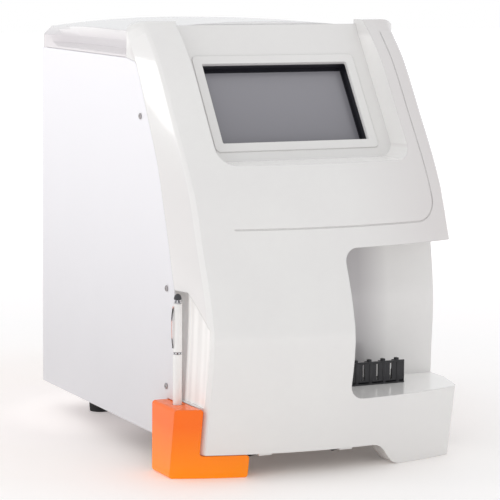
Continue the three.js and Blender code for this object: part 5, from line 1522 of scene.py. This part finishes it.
@dataclass
class TouchScreen(SubAssembly):
    """Black frame, grey glass and the module behind it."""

    title: str = "touch screen"
    glass_grow: float = 6 * MM
    top_border: float = 2.6 * MM
    side_border: float = 1.7 * MM
    hidden: float = 1.2 * MM
    layers: Span = (0.06 * MM, 0.2 * MM)
    fold: float = 30

    def build(self) -> None:
        """Dresses the screen's parts and lays the border."""
        self.dress(Finishes.black_moulding, "screen_frame")
        self.dress(Finishes.screen_glass, "touch_glass")
        self.dress(Finishes.sheet_steel, "display_module")
        self.add("glass_border", self.border(), Finishes.black_moulding)

    def border(self) -> bpy.types.Mesh:
        """Cuts the thin black border that lies on the glass at its top and right.

        Returns:
            The border's mesh.
        """
        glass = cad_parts["touch_glass"].data
        front = max((f for f in glass.polygons if f.normal.y < 0), key=lambda f: f.area)
        normal = front.normal.copy()
        across = Vector((1, 0, 0))
        rise = normal.cross(across).normalized()
        if rise.z < 0:
            rise = -rise
        places = [v.co for v in glass.vertices]
        level = max(p.dot(normal) for p in places)
        (left, right), (low, high) = [
            (min(p.dot(way) for p in places) + self.glass_grow - self.hidden,
             max(p.dot(way) for p in places) - self.glass_grow + self.hidden)
            for way in (across, rise)]
        top = high - self.hidden - self.top_border
        side = right - self.hidden - self.side_border
        line = [(left, high), (left, top), (side, top), (side, low), (right, low), (right, high)]
        bm = bmesh.new()
        under, over = [
            [bm.verts.new(across * x + rise * z + normal * (level + lift)) for x, z in line]
            for lift in self.layers]
        bm.faces.new(under)
        bm.faces.new(over[::-1])
        for i in range(len(line)):
            j = (i + 1) % len(line)
            bm.faces.new((under[i], under[j], over[j], over[i]))
        return mesh_from(bm, "glass_border", self.fold)


@dataclass
class SampleRack(SubAssembly):
    """Black rack and the channel that takes it."""

    body: Body = Body.RACK
    title: str = "sample rack"
    pitch: float = 14.75 * MM
    wells: int = 6
    last_well: float = 77.6 * MM + CENTRE_X
    wall: float = 1.6 * MM
    low_wall: float = 9 * MM
    floor: float = 3 * MM
    slit: float = 2.2 * MM
    slit_low: float = 4 * MM
    slit_high: float = 19.6 * MM
    foot_inset: float = 0.3 * MM
    foot_rise: float = 1.5 * MM
    band_out: float = 0.45 * MM
    band_drop: float = 1.5 * MM
    band_over: float = 0.05 * MM
    band_share: float = 0.8
    rib: float = 1.2 * MM
    rib_share: float = 0.62
    rib_out: float = 0.55 * MM
    rib_in: float = 0.4 * MM
    rib_drop: float = 0.6 * MM
    fin: float = 5 * MM
    fin_depth: float = 7 * MM
    fin_start: float = 0.5
    fin_drop: float = 0.3 * MM
    tip: float = 2 * MM
    tip_left: float = 0.55
    tip_right: float = 0.8
    tip_start: float = 0.9
    tip_reach: float = 0.6
    edge_round: float = 0.35 * MM
    edge_steps: int = 2
    fold: float = 40

    def build(self) -> None:
        """Shapes the rack and dresses its channel."""
        self.add("slit_rack", self.rack(), Finishes.rack_black, replaces=["sample_rack"])
        self.dress(Finishes.sheet_steel, "rack_tunnel")

    def rack(self) -> bpy.types.Mesh:
        """Shapes the rack: slit front wall, ribs, tipped fins, floor, end walls and rear posts.

        Returns:
            The rack's mesh.
        """
        low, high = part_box("sample_rack")
        front, wall = low.y + self.rib, self.wall
        back, rim = front + wall, high.z - self.tip
        low_top, half = low.z + self.low_wall, self.fin / 2
        bm = self.front_wall(low, high, front, rim)
        blocks = [
            ((low.x, front, low.z), (high.x, high.y, low.z + self.floor)),
            ((low.x, low.y + self.foot_inset, low.z), (high.x, back, low.z + self.foot_rise)),
            ((low.x, front - self.band_out, rim - self.band_drop),
             (high.x, front + wall * self.band_share, rim + self.band_over)),
            ((low.x, front, low.z), (low.x + wall, high.y, low_top)),
            ((high.x - wall, front, low.z), (high.x, high.y, low_top)),
        ]
        for i in range(self.wells + 1):
            x = self.last_well + self.pitch / 2 - self.pitch * i
            blocks += [
                ((x - half * self.rib_share, front - self.rib_out, low.z),
                 (x + half * self.rib_share, front + self.rib_in, rim - self.rib_drop)),
                ((x - half, front + wall * self.fin_start, low.z),
                 (x + half, back + self.fin_depth, rim - self.fin_drop)),
                ((x - half * self.tip_left, front + wall * self.tip_start, low.z),
                 (x + half * self.tip_right, back + self.fin_depth * self.tip_reach, high.z)),
                ((x - half, high.y - wall, low.z), (x + half, high.y, low_top)),
            ]
        for start, end in blocks:
            start = tuple(max(a, b) for a, b in zip(start, low))
            end = tuple(min(a, b) for a, b in zip(end, high))
            merge_into(bm, softened_block(start, end, self.edge_round, self.edge_steps))
        return mesh_from(bm, "slit_rack", self.fold)

    def front_wall(self, low: Vector, high: Vector, front: float,
                   rim: float) -> Work:
        """Cuts the slit front wall.

        Args:
            low: lowest corner of the rack.
            high: highest corner of the rack.
            front: depth of the wall's face.
            rim: height of the wall.

        Returns:
            The wall.
        """
        half = self.slit / 2
        middles = [self.last_well - self.pitch * i for i in range(self.wells)][::-1]
        xs = [low.x] + [x + side for x in middles for side in (-half, half)] + [high.x]
        zs = [low.z, low.z + self.slit_low, low.z + self.slit_high, rim]
        bm = bmesh.new()
        grid = [[bm.verts.new((x, front, z)) for x in xs] for z in zs]
        for j in range(len(zs) - 1):
            for i in range(len(xs) - 1):
                if j == 1 and i % 2 == 1:
                    continue
                bm.faces.new((grid[j][i], grid[j][i + 1], grid[j + 1][i + 1], grid[j + 1][i]))
        made = bmesh.ops.extrude_face_region(bm, geom=bm.faces[:])
        moved = [g for g in made["geom"] if isinstance(g, bmesh.types.BMVert)]
        bmesh.ops.translate(bm, verts=moved, vec=(0, self.wall, 0))
        return bm


@dataclass
class Inside(SubAssembly):
    """Chassis sheets, the modules that they carry, the rear connections and the rear feet."""

    title: str = "inside"

    def build(self) -> None:
        """Dresses the modules."""
        self.dress(Finishes.sheet_steel, "base_plate", "bulkhead", "probe_frame",
                   "power_supply")
        self.dress(Finishes.bright_steel, "probe_rod", "probe_screw", "probe_needle")
        self.dress(Finishes.black_moulding, "probe_motor", "probe_carriage", "pump_motor",
                   "valve_block", "fan_frame", "fan_rotor", "power_inlet", "power_rocker",
                   "electrode_housing")
        self.dress(Finishes.wheel_plastic, "pump_rotor", "pump_housing", "pump_roller_1",
                   "pump_roller_2", "pump_roller_3")
        self.dress(Finishes.electrode_plastic, "electrode_sodium", "electrode_potassium",
                   "electrode_chloride", "electrode_calcium", "electrode_reference")
        self.dress(Finishes.carton, "reagent_pack")
        self.dress(Finishes.board, "main_board")
        self.dress(Finishes.bright_steel, "data_port")
        self.dress(Finishes.rubber, "foot_rear_left", "foot_rear_right")


@dataclass(frozen=True)
class Lamp:
    """A soft rectangular lamp."""

    name: str
    place: Point
    aim: Point
    size: Span
    power: float

    def hang(self) -> None:
        """Hangs the lamp and turns it to its aim."""
        lamp = bpy.data.lights.new(self.name, "AREA")
        lamp.shape = "RECTANGLE"
        lamp.size, lamp.size_y = self.size
        lamp.energy = self.power
        holder = bpy.data.objects.new(self.name, lamp)
        holder.location = self.place
        look = Vector(self.aim) - Vector(self.place)
        holder.rotation_euler = look.to_track_quat("-Z", "Y").to_euler()
        bpy.context.scene.collection.objects.link(holder)


@dataclass
class Studio:
    """Pale floor, soft lights and the camera at the photograph's angle."""

    lens: float = 168.96
    sensor: float = 36.0
    yaw: float = 0.449
    pitch: float = 0.1328
    roll: float = 0.0092
    eye: Point = (-997.625, -2078.0, 492.3)
    far_clip: float = 50.0
    floor_half: float = 9.0
    floor_steps: int = 2
    room_base: float = 0.82
    room: tuple[tuple[Point, float], ...] = (((0, 1, 0.1), 0.05), ((-1, 0, 0.1), 0.12))
    room_color: tuple[float, float, float, float] = (0.985, 0.99, 1.0, 1)
    lamps: tuple[Lamp, ...] = (
        Lamp("left_front_bank", (-1.7, -1.8, 1.1), (0, 0, 0.2), (1.2, 1.2), 1.2),
        Lamp("left_window", (-1.9, -0.2, 0.9), (0, 0, 0.25), (1.4, 1.4), 0.4),
        Lamp("high_window", (-1.7, 0.55, 0.93), (-0.13, -0.06, 0.36), (0.34, 0.42), 1.8),
        Lamp("back_fill", (1.2, 1.4, 1.4), (0, 0, 0.2), (1.4, 1.4), 1.0),
        Lamp("overhead_bank", (-0.1, 0.2, 1.8), (0, 0, 0.2), (2.2, 2.2), 1.0),
        Lamp("panel_wash", (-0.7, 0.1, 0.82), (-0.15, 0.05, 0.36), (0.4, 0.4), 0.2))

    def build(self) -> None:
        """Sets the room, the floor, the lamps and the camera."""
        self.world()
        self.floor()
        for lamp in self.lamps:
            lamp.hang()
        self.camera()

    def world(self) -> None:
        """Lights the room from its walls, each with its own share."""
        world = bpy.data.worlds.new("studio_room")
        bpy.context.scene.world = world
        world.use_nodes = True
        world.node_tree.nodes.clear()
        sheet = NodeSheet(world.node_tree)
        where = sheet.local("Generated")
        glow: object = self.room_base
        for way, strength in self.room:
            turn = sheet.place("ShaderNodeVectorMath", operation="DOT_PRODUCT")
            sheet.feed(turn.inputs[0], where)
            sheet.feed(turn.inputs[1], way)
            near = sheet.maths("MAXIMUM", turn.outputs["Value"], 0.0)
            glow = sheet.maths("MULTIPLY_ADD", sheet.product(near, near), strength, glow)
        room = sheet.place("ShaderNodeBackground", Strength=glow, Color=self.room_color)
        wall = sheet.place("ShaderNodeBackground", Strength=1.0, Color=WHITE)
        ray = sheet.place("ShaderNodeLightPath")
        both = sheet.tree.nodes.new("ShaderNodeMixShader")
        sheet.feed(both.inputs[0], ray.outputs["Is Camera Ray"])
        sheet.feed(both.inputs[1], room.outputs[0])
        sheet.feed(both.inputs[2], wall.outputs[0])
        sheet.place("ShaderNodeOutputWorld", Surface=both.outputs[0])
        bpy.context.scene.view_settings.view_transform = "Standard"

    def floor(self) -> None:
        """Lays the pale floor."""
        bm = bmesh.new()
        bmesh.ops.create_grid(bm, x_segments=self.floor_steps, y_segments=self.floor_steps,
                              size=self.floor_half)
        mesh = bpy.data.meshes.new("bench_top")
        bm.to_mesh(mesh)
        bm.free()
        plane = bpy.data.objects.new("bench_top", mesh)
        bpy.context.scene.collection.objects.link(plane)
        mesh.materials.append(PaleBench().material())

    def camera(self) -> None:
        """Places the camera."""
        across = Vector((math.cos(self.yaw), -math.sin(self.yaw), 0))
        ahead = Vector((math.sin(self.yaw) * math.cos(self.pitch),
                        math.cos(self.yaw) * math.cos(self.pitch), -math.sin(self.pitch)))
        up = across.cross(ahead)
        right = math.cos(self.roll) * across + math.sin(self.roll) * up
        top = -math.sin(self.roll) * across + math.cos(self.roll) * up
        lens = bpy.data.cameras.new("photo_camera")
        lens.lens = self.lens
        lens.sensor_width = self.sensor
        lens.clip_end = self.far_clip
        holder = bpy.data.objects.new("photo_camera", lens)
        turn = Matrix((right, top, -ahead)).transposed().to_4x4()
        holder.matrix_world = Matrix.Translation(Vector(self.eye) * MM) @ turn
        bpy.context.scene.collection.objects.link(holder)
        bpy.context.scene.camera = holder


def main() -> None:
    """Builds the studio and every sub-assembly in order."""
    logging.basicConfig(level=logging.INFO, format="%(name)s %(message)s")
    Studio().build()
    for part in (Housing(), CornerBlock(), Stylus(), TouchScreen(), SampleRack(), Inside()):
        part.build()
        log.info("%s is ready", part.title)


if __name__ == "__main__":
    main()
